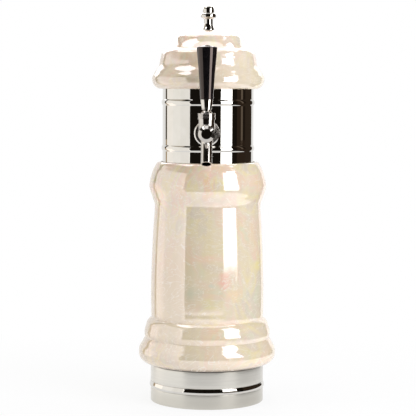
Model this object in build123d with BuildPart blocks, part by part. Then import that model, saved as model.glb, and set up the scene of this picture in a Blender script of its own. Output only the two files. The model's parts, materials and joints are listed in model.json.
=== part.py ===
from build123d import *
import os
from math import cos, radians, sin

# Single-tap draft beer dispenser: a glazed ceramic tower and lid on a chromed column, with a tap
# whose handle tips forward. Millimetres, +Z up. The origin is on the column's axis at the counter,
# and the tap faces -Y, so a depth d below means y = -d.

# Clearances
slip = 0.1
press_gap = 0.05
loose = 0.3

# Column, the driving size of the tower
column_radius = 60.0
column_wall = 1.5
bead_height = 8.0
bead_proud = 1.3
lower_bead_inset = 18.3
upper_bead_inset = 17.5

# Base, a floor pan with a polished ring and a collar stacked on its sleeve
base_margin = 14.8
base_wall = 3.0
base_height = 48.9
pan_band_height = 18.5
pan_floor = 4.0
pan_sleeve_wall = 2.5
collar_flange = 3.0
trim_height = 8.2
trim_proud = 1.5
trim_belly_height = 2.3
trim_lean = (-0.9, -1.5)
line_opening_radius = 26.0
base_gasket_thickness = 2.0
counter_bolt_circle = 76.0
counter_bolt_hole_radius = 3.4
bolt_count = 4

# Ring that holds the column down, and its countersunk screws
foot_ring_width = 12.4
foot_ring_thickness = 6.0
foot_ring_upstand = 10.0
foot_ring_wall = 3.0
foot_screw_radius = 2.4
foot_screw_head_radius = 4.4

# Ceramic body: how far each stage of its outline stands out from the column, and its height. The swell
# and the hollow between two stages are a step out and a step up from the stage that they name
seat_gasket_thickness = 1.0
seat_gasket_width = 8.0
body_height = 267.0
body_wall = 7.5
body_bore_gap = 1.8
foot_out = 30.8
foot_round = 15.2
foot_bulge_height = 14.2
foot_fall = (-0.8, 6.8)
foot_hollow = (3.5, -6.3)
crease_out = 22.5
crease_height = 34.6
ring_out = 23.4
ring_belly_height = 7.1
ring_fall = (-2.2, 8.9)
ring_shoulder = (6.1, -6.3)
ring_top_out = 14.0
ring_height = 26.2
wall_out = 14.6
wall_foot_height = 13.4
wall_middle_out = 13.6
wall_middle_height = 83.0
neck_out = 10.1
neck_drop = 57.5
neck_fall = (1.7, -29.0)
shoulder_out = 17.2
shoulder_drop = 31.5
shoulder_swell = (-0.2, -1.4)
shoulder_fall = (-2.3, 12.5)
mouth_swell = (-6.3, 23.8)
mouth_lip = 2.2
mouth_depth = 11.5
top_seal_height = 4.0
top_seal_drop = 2.5

# Exposed column and ceramic lid
column_show = 95.5
lid_overlap = 6.4
lid_bore_gap = 1.0
lid_gasket_thickness = 1.5
lid_ledge = 4.0
brim_out = 14.0
brim_height = 13.4
brim_foot = 2.0
brim_roll = (-3.2, -9.3)
brim_fall = (-4.0, 9.0)
tier_out = 4.2
tier_height = 32.9
tier_rise = (-1.6, 8.6)
tier_shoulder = (3.6, -2.6)
tier_inset = 3.4
tier_top_height = 51.0
cove_sag = (-0.4, -2.0)
dome_radius = 43.6
dome_height = 67.0
dome_shoulder = (-6.4, 5.4)
lid_height = 76.4
lid_wall = 7.2
lid_hole_radius = 4.6

# Stud across the column's top that clamps the lid, and the finial on it
stud_radius = 4.0
stud_engage = 12.0
stud_end = 2.0
stud_bevel = 0.8
bridge_width = 22.0
bridge_thickness = 4.0
bridge_drop = 14.3
stud_nut_flats = 13.0
stud_nut_height = 6.4
finial_washer_thickness = 1.0
finial_base_radius = 8.3
finial_base_height = 0.8
finial_neck_radius = 5.8
finial_neck_height = 14.0
finial_flare = (0.8, 4.6)
finial_cone_height = 1.7
finial_disc_radius = 10.2
finial_disc_height = 5.8
finial_disc_round = 1.2
finial_groove = 0.6
finial_knob_radius = 7.5
finial_knob_height = 11.4
finial_knob_round = 6.0
finial_crown_radius = 5.4
finial_crown_drop = 1.6

# Foam round the beer line inside the column
core_bore_radius = 14.0
core_lift = 19.0
core_rise = 3.5

# Tap: its axis height above the body's top, and depths along that axis
tap_rise = 39.5
flange_radius = 15.4
flange_depth = 5.0
shank_radius = 11.0
shank_tail = 32.0
shank_bore_radius = 3.2
hub_radius = 14.0
hub_depth = 8.0
socket_radius = 8.0
socket_depth = 17.0
locknut_flats = 30.0
locknut_depth = 6.5
wall_washer_radius = 15.0
wall_washer_depth = 4.0
coupling_washer_depth = 1.0
coupling_nut_radius = 16.4
coupling_nut_bevel = 1.6
coupling_nut_front_bevel = 1.0
coupling_lip = 2.5
spanner_hole_radius = 1.6
spanner_hole_count = 6

# Tap body
shoulder_radius = 13.6
shoulder_depth = 2.5
barrel_radius = 10.5
barrel_depth = 39.0
barrel_bore_radius = 6.1
barrel_bore_depth = 34.0
nose_bevel_depth = 3.3
nose_face_radius = 6.5
nose_round = 0.6
neck_radius = 10.0
neck_depth = 24.0
neck_height = 18.0
neck_thread_radius = 9.5
neck_thread_height = 4.0
body_fillet = 2.0

# Spout
spout_depth = 12.0
spout_tilt = 28.0
spout_length = 43.0
spout_radius = 7.1
spout_bore_radius = 5.8
spout_bore_length = 30.0
spout_throat_radius = 5.2
mouth_edge_round = 0.5

# Bonnet, lever and its ball joint
pivot_rise = 23.0
ball_radius = 7.5
ball_gap = 0.1
bonnet_radius = 11.1
bonnet_rise = 2.7
bonnet_groove = 0.55
bonnet_round = 0.8
groove_count = 3
ball_washer_height = 1.0
lever_travel = 28.0
lever_neck_radius = 4.2
lever_neck_height = 6.5
lever_stud_radius = 4.7
lever_stud_height = 19.5
arm_tip_radius = 1.6
arm_radius = 1.2
arm_length = 19.5
arm_gap = 0.4
collar_radius = 6.3
collar_height = 2.5
collar_bevel = 1.0

# Handle
ferrule_foot_radius = 6.5
ferrule_top_radius = 8.0
ferrule_height = 11.0
insert_radius = 6.2
insert_height = 15.0
handle_height = 65.5
handle_foot_radius = 8.1
handle_middle_radius = 10.1
handle_top_radius = 13.0
handle_dome = 2.4
handle_edge_round = 1.0

# Sliding shaft that the lever moves
guide_radius = 6.02
guide_length = 12.0
guide_rear = 4.0
guide_flat = 3.6
rod_radius = 2.5
seat_washer_radius = 7.3
seat_washer_depth = 3.0
shaft_nut_radius = 5.0
shaft_nut_depth = 3.0
slot_gap = 0.35

# Tail of the tap and the beer line down the middle
tail_washer_depth = 1.2
tail_flange_depth = 2.0
tail_nut_flats = 26.0
tail_nut_lip = 2.8
tail_nut_depth = 11.0
tail_bend_radius = 8.0
barb_length = 16.0
barb_count = 3
barb_pitch = 4.0
barb_radius = 3.1
barb_bore_radius = 2.1
barb_groove = 0.4
barb_land = 1.0
hose_bore_radius = 3.2
hose_radius = 5.5
clamp_width = 7.0
clamp_thickness = 1.0
clamp_ear = 2.5
inlet_lift = 4.0
inlet_radius = 3.5
inlet_length = 20.0
inlet_hex_flats = 12.0
inlet_hex_height = 8.0

# Levels
base_radius = column_radius + base_margin
sleeve_radius = base_radius - base_wall
floor_top = base_gasket_thickness + pan_floor
trim_foot = pan_band_height
trim_top = trim_foot + trim_height
body_foot = base_height + seat_gasket_thickness
body_top = body_foot + body_height
lid_foot = body_top + column_show
lid_seat = lid_foot + lid_overlap
column_top = lid_seat - lid_gasket_thickness
lid_top = lid_foot + lid_height
finial_foot = lid_top + finial_washer_thickness
tap_height = body_top + tap_rise
pivot_height = tap_height + pivot_rise
column_inner_radius = column_radius - column_wall
body_bore_radius = column_radius + body_bore_gap
lid_bore_radius = column_radius + lid_bore_gap

# Depths along the tap's axis
flange_face = column_radius + flange_depth
hub_face = flange_face + hub_depth
tap_back = hub_face + coupling_washer_depth
shoulder_face = tap_back + shoulder_depth
neck_at = tap_back + neck_depth
spout_at = tap_back + spout_depth
shank_back = column_radius - shank_tail
washer_back = column_inner_radius - wall_washer_depth

# Planes and axes: side shows depth to the right and height above the tap's axis
side = Plane(origin=(0, 0, tap_height), x_dir=(0, -1, 0), z_dir=(-1, 0, 0))
tap_axis = Axis((0, 0, tap_height), (0, -1, 0))
pivot_axis = Axis((0, -neck_at, 0), (0, 0, 1))
pivot_plane = Plane(origin=(0, -neck_at, 0), x_dir=(1, 0, 0), z_dir=(0, -1, 0))
pivot_point = (0, -neck_at, pivot_height)
standing = (Align.CENTER, Align.CENTER, Align.MIN)


def across_tap(depth):
    """Plane square to the tap's axis at a depth, looking forward."""
    return Plane(origin=(0, -depth, tap_height), x_dir=(1, 0, 0), z_dir=(0, -1, 0))


def step(point, change):
    """Point of an outline a step out and up from another."""
    return (point[0] + change[0], point[1] + change[1])


def halfway(first, second):
    """Point in the middle between two points of an outline."""
    return ((first[0] + second[0]) / 2, (first[1] + second[1]) / 2)


def section(low, high, inner, outer, mode=Mode.ADD):
    """Rectangle of a ring's section, where the sketch's first direction runs along the axis."""
    with Locations((low, inner)):
        Rectangle(high - low, outer - inner, align=Align.MIN, mode=mode)


def rims(piece):
    """Whole circular edges of a piece."""
    return piece.edges().filter_by(GeomType.CIRCLE).filter_by(lambda edge: edge.is_closed)


def upright_section(low, high, inner, outer, mode=Mode.ADD):
    """Rectangle of a ring's section round an upright axis."""
    with Locations((inner, low)):
        Rectangle(outer - inner, high - low, align=Align.MIN, mode=mode)


# Base gasket, inside the skirt, flush with the counter
with BuildPart() as base_gasket:
    with BuildSketch():
        Circle(sleeve_radius - loose)
        Circle(line_opening_radius, mode=Mode.SUBTRACT)
        with PolarLocations(counter_bolt_circle / 2, bolt_count, start_angle=45):
            Circle(counter_bolt_hole_radius, mode=Mode.SUBTRACT)
    extrude(amount=base_gasket_thickness)

# Column foot ring: a flange on the pan's floor and an upstand inside the column
foot_ring_outer = column_inner_radius - slip
foot_ring_inner = foot_ring_outer - foot_ring_width
foot_ring_top = floor_top + foot_ring_thickness
foot_screw_circle = foot_ring_inner + (foot_ring_width - foot_ring_wall) / 2
with BuildPart() as column_foot_ring:
    with BuildSketch(Plane.XZ):
        upright_section(floor_top, foot_ring_top, foot_ring_inner, foot_ring_outer)
        upright_section(
            foot_ring_top,
            foot_ring_top + foot_ring_upstand,
            foot_ring_outer - foot_ring_wall,
            foot_ring_outer,
        )
    revolve(axis=Axis.Z)
    with Locations(Plane.XY.offset(foot_ring_top)):
        with PolarLocations(foot_screw_circle, bolt_count):
            Hole(foot_screw_radius + slip, foot_ring_thickness)

# Base pan: skirt to the counter, floor above the gasket, and the sleeve that carries the rings
sleeve_top = base_height - collar_flange
with BuildPart() as base_pan:
    with BuildSketch(Plane.XZ):
        upright_section(0, trim_foot, sleeve_radius, base_radius)
        upright_section(base_gasket_thickness, floor_top, line_opening_radius, sleeve_radius)
        upright_section(base_gasket_thickness, sleeve_top, sleeve_radius - pan_sleeve_wall, sleeve_radius)
    revolve(axis=Axis.Z)
    with Locations(Plane.XY.offset(floor_top)):
        with PolarLocations(counter_bolt_circle / 2, bolt_count, start_angle=45):
            Hole(counter_bolt_hole_radius, pan_floor)
    with Locations(Plane.XY.offset(base_gasket_thickness).rotated((180, 0, 0))):
        with PolarLocations(foot_screw_circle, bolt_count):
            CounterSinkHole(foot_screw_radius + slip, foot_screw_head_radius + slip, pan_floor)

# Foot screws: cone heads flush under the floor, ends in the foot ring
head_drop = foot_screw_head_radius - foot_screw_radius
with BuildPart() as foot_screws:
    with PolarLocations(foot_screw_circle, bolt_count):
        with Locations((0, 0, base_gasket_thickness)):
            Cone(foot_screw_head_radius, foot_screw_radius, head_drop, align=standing)
            Cylinder(foot_screw_radius, pan_floor + foot_ring_thickness, align=standing)

# Polished trim ring between pan and collar, its face proudest low down and leaning in above
with BuildPart() as base_trim_ring:
    with BuildSketch(Plane.XZ):
        with BuildLine():
            Polyline(
                (base_radius, trim_top),
                (sleeve_radius + slip, trim_top),
                (sleeve_radius + slip, trim_foot),
                (base_radius, trim_foot),
            )
            Spline(
                (base_radius, trim_foot),
                (base_radius + trim_proud, trim_foot + trim_belly_height),
                step((base_radius + trim_proud, trim_top), trim_lean),
                (base_radius, trim_top),
                tangents=[(1, 0.3), (-1, 0.3)],
            )
        make_face()
    revolve(axis=Axis.Z)

# Upper collar: brushed band with a flange turned in under the ceramic
with BuildPart() as base_upper_collar:
    with BuildSketch(Plane.XZ):
        upright_section(trim_top, base_height, sleeve_radius + slip, base_radius)
        upright_section(sleeve_top, base_height, base_radius - seat_gasket_width - loose, base_radius)
    revolve(axis=Axis.Z)

# Gasket under the ceramic body
with BuildPart() as body_seat_gasket:
    with BuildSketch(Plane.XZ):
        upright_section(base_height, body_foot, base_radius - seat_gasket_width, base_radius)
    revolve(axis=Axis.Z)

# Ceramic body: swelling foot, ovolo ring, tapering wall, shoulder under the exposed column
foot_centre = body_foot + foot_bulge_height
foot_belly = (column_radius + foot_out, foot_centre)
crease = (column_radius + crease_out, body_foot + crease_height)
ring_belly = (column_radius + ring_out, crease[1] + ring_belly_height)
ring_top = (column_radius + ring_top_out, crease[1] + ring_height)
wall_foot = (column_radius + wall_out, ring_top[1] + wall_foot_height)
wall_middle = (column_radius + wall_middle_out, ring_top[1] + wall_middle_height)
neck = (column_radius + neck_out, body_top - neck_drop)
shoulder = (column_radius + shoulder_out, body_top - shoulder_drop)
mouth = (body_bore_radius + mouth_lip, body_top)
seat_inner_radius = base_radius - seat_gasket_width
with BuildPart() as ceramic_body:
    with BuildSketch(Plane.XZ):
        with BuildLine():
            EllipticalCenterArc(
                (foot_belly[0] - foot_round, foot_centre),
                foot_round,
                foot_bulge_height,
                start_angle=270,
                arc_size=90,
            )
            Spline(
                foot_belly,
                step(foot_belly, foot_fall),
                step(crease, foot_hollow),
                crease,
                tangents=[(0, 1), (-0.75, 1)],
            )
            Spline(crease, ring_belly, tangents=[(0.45, 1), (0, 1)])
            Spline(
                ring_belly,
                step(ring_belly, ring_fall),
                step(ring_top, ring_shoulder),
                ring_top,
                tangents=[(0, 1), (-1, 0.6)],
            )
            Spline(
                ring_top,
                wall_foot,
                wall_middle,
                step(neck, neck_fall),
                neck,
                tangents=[(0.2, 1), (0, 1)],
            )
            Spline(
                neck,
                step(halfway(neck, shoulder), shoulder_swell),
                shoulder,
                tangents=[(0, 1), (0, 1)],
            )
            Spline(
                shoulder,
                step(shoulder, shoulder_fall),
                step(shoulder, mouth_swell),
                mouth,
                tangents=[(0, 1), (-1, 0)],
            )
            Polyline(
                mouth,
                (body_bore_radius, body_top),
                (body_bore_radius, body_top - mouth_depth),
                (shoulder[0] - body_wall, shoulder[1] + body_wall / 2),
                (shoulder[0] - body_wall, shoulder[1] - body_wall / 2),
                (neck[0] - body_wall, neck[1]),
                (wall_middle[0] - body_wall, wall_middle[1]),
                (ring_top[0] - body_wall, ring_top[1] - body_wall / 2),
                (crease[0] - body_wall, crease[1]),
                (foot_belly[0] - body_wall, foot_centre + body_wall / 2),
                (foot_belly[0] - 1.4 * body_wall, body_foot + 1.2 * body_wall),
                (seat_inner_radius, body_foot + body_wall),
                (seat_inner_radius, body_foot),
                (foot_belly[0] - foot_round, body_foot),
            )
        make_face()
    revolve(axis=Axis.Z)

# Seal between the body's mouth and the column
with BuildPart() as body_top_seal:
    with BuildSketch(Plane.XZ):
        upright_section(
            body_top - top_seal_drop - top_seal_height,
            body_top - top_seal_drop,
            column_radius + press_gap,
            body_bore_radius - press_gap,
        )
    revolve(axis=Axis.Z)

# Chromed column: a thin tube with two rolled beads and the hole for the shank
lower_bead = body_top + lower_bead_inset
upper_bead = lid_foot - upper_bead_inset
with BuildPart() as column_tube:
    with BuildSketch(Plane.XZ):
        upright_section(floor_top, column_top, column_inner_radius, column_radius)
        for bead in (lower_bead, upper_bead):
            with BuildLine():
                ThreePointArc(
                    (column_radius, bead - bead_height / 2),
                    (column_radius + bead_proud, bead),
                    (column_radius, bead + bead_height / 2),
                )
                Line((column_radius, bead + bead_height / 2), (column_radius, bead - bead_height / 2))
            make_face()
            with BuildLine():
                ThreePointArc(
                    (column_inner_radius, bead - bead_height / 2),
                    (column_inner_radius + bead_proud, bead),
                    (column_inner_radius, bead + bead_height / 2),
                )
                Line(
                    (column_inner_radius, bead + bead_height / 2),
                    (column_inner_radius, bead - bead_height / 2),
                )
            make_face(mode=Mode.SUBTRACT)
    revolve(axis=Axis.Z)
    with BuildSketch(across_tap(column_radius / 2)):
        Circle(shank_radius + slip)
    extrude(amount=column_radius, mode=Mode.SUBTRACT)

# Foam round the beer line
core_foot = floor_top + core_lift
core_top = body_top + core_rise
with BuildPart() as insulation_core:
    with BuildSketch(Plane.XZ):
        upright_section(core_foot, core_top, core_bore_radius, column_inner_radius - loose)
    revolve(axis=Axis.Z)

# Bridge bar across the column, under the lid
bridge_foot = column_top - bridge_drop - bridge_thickness
bridge_top = column_top - bridge_drop
with BuildPart() as bridge_bar:
    with BuildSketch(Plane.XY.offset(bridge_foot)):
        Circle(column_inner_radius - press_gap)
        Rectangle(2 * column_radius, bridge_width, mode=Mode.INTERSECT)
        Circle(stud_radius + slip, mode=Mode.SUBTRACT)
    extrude(amount=bridge_thickness)

# Stud from the bridge bar into the finial, with a nut on each side of the bar
stud_foot = bridge_foot - stud_nut_height - stud_end
with BuildPart() as lid_stud:
    with BuildSketch(Plane.XY.offset(stud_foot)):
        Circle(stud_radius)
    extrude(amount=finial_foot + stud_engage - stud_end / 2 - stud_foot)
    chamfer(lid_stud.edges().sort_by(Axis.Z)[-1], stud_bevel)

with BuildPart() as stud_nuts:
    for nut_foot in (bridge_foot - stud_nut_height, bridge_top):
        with BuildSketch(Plane.XY.offset(nut_foot)):
            RegularPolygon(stud_nut_flats / 2, 6, major_radius=False)
            Circle(stud_radius + press_gap, mode=Mode.SUBTRACT)
        extrude(amount=stud_nut_height)

# Gasket on the column's rim under the lid's ledge
with BuildPart() as lid_gasket:
    with BuildSketch(Plane.XZ):
        upright_section(column_top, lid_seat, lid_bore_radius - lid_ledge, lid_bore_radius - loose)
    revolve(axis=Axis.Z)

# Ceramic lid: rolled brim, cove, upright tier, second cove and a low dome
brim = (column_radius + brim_out, lid_foot + brim_height)
tier_foot = (column_radius + tier_out, lid_foot + tier_height)
tier_top = (column_radius - tier_inset, lid_foot + tier_top_height)
dome_edge = (dome_radius, lid_foot + dome_height)
with BuildPart() as ceramic_lid:
    with BuildSketch(Plane.XZ):
        with BuildLine():
            Spline(
                (lid_bore_radius + brim_foot, lid_foot),
                step(brim, brim_roll),
                brim,
                step(brim, brim_fall),
                tier_foot,
                tangents=[(1, 0), (-0.1, 1)],
            )
            Spline(
                tier_foot,
                step(tier_foot, tier_rise),
                step(tier_top, tier_shoulder),
                tier_top,
                tangents=[(-0.1, 1), (-1, 0.1)],
            )
            Spline(
                tier_top,
                step(halfway(tier_top, dome_edge), cove_sag),
                dome_edge,
                tangents=[(-1, 0.3), (-0.35, 1)],
            )
            Spline(
                dome_edge,
                step(dome_edge, dome_shoulder),
                (finial_base_radius, lid_top),
                tangents=[(-0.35, 1), (-1, 0)],
            )
            Polyline(
                (finial_base_radius, lid_top),
                (lid_hole_radius, lid_top),
                (lid_hole_radius, lid_top - lid_wall),
                (dome_radius - 1.3 * lid_wall, dome_edge[1] - 0.3 * lid_wall),
                (dome_radius - 0.8 * lid_wall, dome_edge[1] - 0.8 * lid_wall),
                (tier_top[0] - 1.2 * lid_wall, tier_top[1] - 0.6 * lid_wall),
                (tier_foot[0] - 1.4 * lid_wall, tier_top[1] - 1.1 * lid_wall),
                (tier_foot[0] - lid_wall, tier_top[1] - 2 * lid_wall),
                (tier_foot[0] - lid_wall, lid_seat),
                (lid_bore_radius, lid_seat),
                (lid_bore_radius, lid_foot),
                (lid_bore_radius + brim_foot, lid_foot),
            )
        make_face()
    revolve(axis=Axis.Z)

# Washer under the finial
with BuildPart() as finial_washer:
    with BuildSketch(Plane.XZ):
        upright_section(lid_top, finial_foot, lid_hole_radius, finial_base_radius - loose)
    revolve(axis=Axis.Z)

# Finial: flared base, neck, round-edged disc and a bullet knob, bored for the stud
neck_top = finial_foot + finial_neck_height
disc_foot = neck_top + finial_cone_height
disc_top = disc_foot + finial_disc_height
disc_rim = finial_disc_radius - finial_disc_round
knob_top = disc_top + finial_knob_height
knob_round_foot = knob_top - finial_knob_round
flare_foot = finial_foot + finial_base_height
flare_top = neck_top - finial_neck_radius / 2
with BuildPart() as finial:
    with BuildSketch(Plane.XZ):
        with BuildLine():
            Polyline(
                (0, knob_top),
                (0, finial_foot + stud_engage),
                (stud_radius + slip, finial_foot + stud_engage),
                (stud_radius + slip, finial_foot),
                (finial_base_radius, finial_foot),
                (finial_base_radius, flare_foot),
            )
            Spline(
                (finial_base_radius, flare_foot),
                step((finial_neck_radius, finial_foot), finial_flare),
                (finial_neck_radius, flare_top),
                tangents=[(-0.4, 1), (0, 1)],
            )
            Polyline(
                (finial_neck_radius, flare_top),
                (finial_neck_radius, neck_top),
                (disc_rim, disc_foot),
            )
            ThreePointArc(
                (disc_rim, disc_foot),
                (finial_disc_radius, (disc_foot + disc_top) / 2),
                (disc_rim, disc_top),
            )
            Polyline(
                (disc_rim, disc_top),
                (finial_knob_radius - finial_groove, disc_top),
                (finial_knob_radius - finial_groove, disc_top + finial_groove),
                (finial_knob_radius, disc_top + 2 * finial_groove),
                (finial_knob_radius, knob_round_foot),
            )
            Spline(
                (finial_knob_radius, knob_round_foot),
                (finial_crown_radius, knob_top - finial_crown_drop),
                (0, knob_top),
                tangents=[(0, 1), (-1, 0)],
            )
        make_face()
    revolve(axis=Axis.Z)

# Shank through the column, with a socket for the seat washer
with BuildPart() as shank:
    with BuildSketch(side):
        section(shank_back, flange_face, shank_bore_radius, shank_radius)
        section(flange_face, hub_face, shank_bore_radius, hub_radius)
        section(hub_face - socket_depth, hub_face, 0, socket_radius, mode=Mode.SUBTRACT)
    revolve(axis=tap_axis)

# Flange outside, shaped to the column
with BuildPart() as shank_flange:
    with BuildSketch(across_tap(column_radius - flange_depth)):
        Circle(flange_radius)
        Circle(shank_radius + slip, mode=Mode.SUBTRACT)
    extrude(amount=2 * flange_depth)
    with BuildSketch(Plane.XY.offset(tap_height - column_radius)):
        Circle(column_radius + press_gap)
    extrude(amount=2 * column_radius, mode=Mode.SUBTRACT)

# Washer inside, shaped to the column's inner wall, and its locknut
with BuildPart() as shank_wall_washer:
    with BuildSketch(across_tap(washer_back)):
        Circle(wall_washer_radius)
        Circle(shank_radius + slip, mode=Mode.SUBTRACT)
    extrude(amount=column_radius - washer_back)
    with BuildSketch(Plane.XY.offset(tap_height - column_radius)):
        Circle(column_inner_radius - press_gap)
    extrude(amount=2 * column_radius, mode=Mode.INTERSECT)

with BuildPart() as shank_locknut:
    with BuildSketch(across_tap(washer_back - locknut_depth)):
        RegularPolygon(locknut_flats / 2, 6, major_radius=False)
        Circle(shank_radius + press_gap, mode=Mode.SUBTRACT)
    extrude(amount=locknut_depth)

# Washer and ring nut that couple the tap to the shank
with BuildPart() as coupling_washer:
    with BuildSketch(side):
        section(hub_face, tap_back, socket_radius + slip, shoulder_radius)
    revolve(axis=tap_axis)

nut_back = flange_face + coupling_washer_depth
nut_front = shoulder_face + coupling_lip
with BuildPart() as coupling_nut:
    with BuildSketch(side):
        section(nut_back, shoulder_face, hub_radius + slip, coupling_nut_radius)
        section(shoulder_face, nut_front, barrel_radius + 2 * loose, coupling_nut_radius)
    revolve(axis=tap_axis)
    outer_rims = rims(coupling_nut).sort_by(SortBy.RADIUS)[-2:].sort_by(Axis.Y)
    chamfer(outer_rims[0], coupling_nut_bevel)
    chamfer(outer_rims[-1], coupling_nut_front_bevel)
    for turn in range(spanner_hole_count):
        angle = radians(360 / spanner_hole_count * turn)
        outward = (sin(angle), 0, cos(angle))
        with BuildSketch(Plane(origin=(0, -(nut_back + shoulder_face) / 2, tap_height), z_dir=outward)):
            Circle(spanner_hole_radius)
        extrude(amount=2 * coupling_nut_radius, mode=Mode.SUBTRACT)

# Tap body: shoulder, barrel with a flat nose in a bevel, upright neck with its cup, tilted spout
spout_direction = (0, -sin(radians(spout_tilt)), -cos(radians(spout_tilt)))
spout_plane = Plane(origin=(0, -spout_at, tap_height), x_dir=(1, 0, 0), z_dir=spout_direction)
nose = tap_back + barrel_depth
arm_reach = arm_tip_radius + arm_gap
arm_low = (neck_at - arm_length * sin(radians(lever_travel)), -arm_length * cos(radians(lever_travel)))
back_across = (-arm_reach * cos(radians(lever_travel)), arm_reach * sin(radians(lever_travel)))
with BuildPart() as faucet_body:
    with BuildSketch(side):
        with BuildLine():
            Polyline(
                (nose, 0),
                (tap_back, 0),
                (tap_back, barrel_radius),
                (nose - nose_bevel_depth, barrel_radius),
                (nose, nose_face_radius),
                close=True,
            )
        make_face()
    revolve(axis=tap_axis)
    fillet(rims(faucet_body).sort_by(Axis.Y)[1], nose_round)
    with BuildSketch(Plane.XY.offset(tap_height)):
        with Locations((0, -neck_at)):
            Circle(neck_radius)
    extrude(amount=neck_height)
    with BuildSketch(spout_plane):
        Circle(spout_radius)
    extrude(amount=spout_length)
    plain = (GeomType.CIRCLE, GeomType.LINE)
    fillet(faucet_body.edges().filter_by(lambda edge: edge.geom_type not in plain), body_fillet)
    fillet(rims(faucet_body).sort_by(Axis((0, 0, 0), spout_direction))[-1], mouth_edge_round)
    with BuildSketch(Plane.XY.offset(tap_height + neck_height)):
        with Locations((0, -neck_at)):
            Circle(neck_thread_radius)
    extrude(amount=neck_thread_height)
    with BuildSketch(side):
        section(tap_back, shoulder_face, 0, shoulder_radius)
    revolve(axis=tap_axis)
    with BuildSketch(side):
        section(tap_back, tap_back + barrel_bore_depth, 0, barrel_bore_radius)
    revolve(axis=tap_axis, mode=Mode.SUBTRACT)
    with BuildSketch(spout_plane):
        Circle(spout_throat_radius)
    extrude(amount=spout_length, mode=Mode.SUBTRACT)
    with BuildSketch(spout_plane.offset(spout_length - spout_bore_length)):
        Circle(spout_bore_radius)
    extrude(amount=spout_bore_length, mode=Mode.SUBTRACT)
    with Locations(pivot_point):
        Sphere(ball_radius + ball_gap, mode=Mode.SUBTRACT)
    with BuildSketch(side):
        with BuildLine():
            Polyline(
                (neck_at + arm_reach, 0),
                (neck_at + arm_reach, pivot_rise),
                (neck_at + back_across[0], pivot_rise + back_across[1]),
                (arm_low[0] + back_across[0], pivot_rise + arm_low[1] + back_across[1]),
                (arm_low[0] - arm_reach, pivot_rise + arm_low[1]),
                (arm_low[0] - arm_reach, 0),
                close=True,
            )
        make_face()
    extrude(amount=arm_reach, both=True, mode=Mode.SUBTRACT)

# Bonnet over the neck's thread, with turned grooves and a ball seat
bonnet_foot = tap_height + neck_height
bonnet_top = pivot_height + bonnet_rise
thread_top = bonnet_foot + neck_thread_height
washer_top = thread_top + ball_washer_height
groove_pitch = (bonnet_top - bonnet_foot) / (groove_count + 1)
with BuildPart() as bonnet:
    with BuildSketch(pivot_plane):
        upright_section(bonnet_foot, bonnet_top, 0, bonnet_radius)
        upright_section(bonnet_foot, washer_top, 0, neck_thread_radius + slip, mode=Mode.SUBTRACT)
        for groove in range(1, groove_count + 1):
            with Locations((bonnet_radius, bonnet_foot + groove * groove_pitch)):
                Circle(bonnet_groove, mode=Mode.SUBTRACT)
    revolve(axis=pivot_axis)
    with Locations(pivot_point):
        Sphere(ball_radius + ball_gap, mode=Mode.SUBTRACT)
    fillet(rims(bonnet).group_by(Axis.Z)[-1].sort_by(SortBy.RADIUS)[-1], bonnet_round)

# Friction washer round the ball
with BuildPart() as ball_washer:
    with BuildSketch(pivot_plane):
        upright_section(thread_top, washer_top, ball_radius + 2 * slip, neck_thread_radius)
    revolve(axis=pivot_axis)

# Lever: ball, neck, threaded stud above and the arm that moves the shaft
stud_start = pivot_height + lever_neck_height
arm_tip = pivot_height - arm_length
with BuildPart() as lever:
    with BuildSketch(pivot_plane):
        upright_section(pivot_height, stud_start, 0, lever_neck_radius)
        upright_section(stud_start, stud_start + lever_stud_height, 0, lever_stud_radius)
        upright_section(arm_tip, pivot_height, 0, arm_radius)
    revolve(axis=pivot_axis)
    with Locations(pivot_point):
        Sphere(ball_radius)
    with Locations((0, -neck_at, arm_tip)):
        Sphere(arm_tip_radius)

# Collar nut, ferrule and insert between lever and handle
ferrule_foot = stud_start + collar_height
handle_foot = ferrule_foot + ferrule_height
insert_top = handle_foot + insert_height
stud_bore_radius = lever_stud_radius + press_gap
with BuildPart() as lever_collar:
    with BuildSketch(pivot_plane):
        upright_section(stud_start, ferrule_foot, stud_bore_radius, collar_radius)
    revolve(axis=pivot_axis)
    chamfer(rims(lever_collar).group_by(Axis.Z)[0].sort_by(SortBy.RADIUS)[-1], collar_bevel)

with BuildPart() as handle_ferrule:
    with BuildSketch(pivot_plane):
        with BuildLine():
            Polyline(
                (stud_bore_radius, ferrule_foot),
                (ferrule_foot_radius, ferrule_foot),
                (ferrule_top_radius, handle_foot),
                (stud_bore_radius, handle_foot),
                close=True,
            )
        make_face()
    revolve(axis=pivot_axis)

with BuildPart() as handle_insert:
    with BuildSketch(pivot_plane):
        upright_section(handle_foot, insert_top, stud_bore_radius, insert_radius)
    revolve(axis=pivot_axis)

# Handle: a slow taper that widens upwards to a low domed top
handle_edge = handle_foot + handle_height
with BuildPart() as tap_handle:
    with BuildSketch(pivot_plane):
        with BuildLine():
            Polyline(
                (0, handle_edge + handle_dome),
                (0, insert_top + loose),
                (insert_radius + press_gap, insert_top + loose),
                (insert_radius + press_gap, handle_foot),
                (handle_foot_radius, handle_foot),
            )
            Spline(
                (handle_foot_radius, handle_foot),
                (handle_middle_radius, (handle_foot + handle_edge) / 2),
                (handle_top_radius, handle_edge),
            )
            TangentArc((0, handle_edge + handle_dome), (handle_top_radius, handle_edge), tangent=(1, 0))
        make_face()
    revolve(axis=pivot_axis)
    fillet(rims(tap_handle).sort_by(SortBy.RADIUS)[-1], handle_edge_round)

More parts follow.
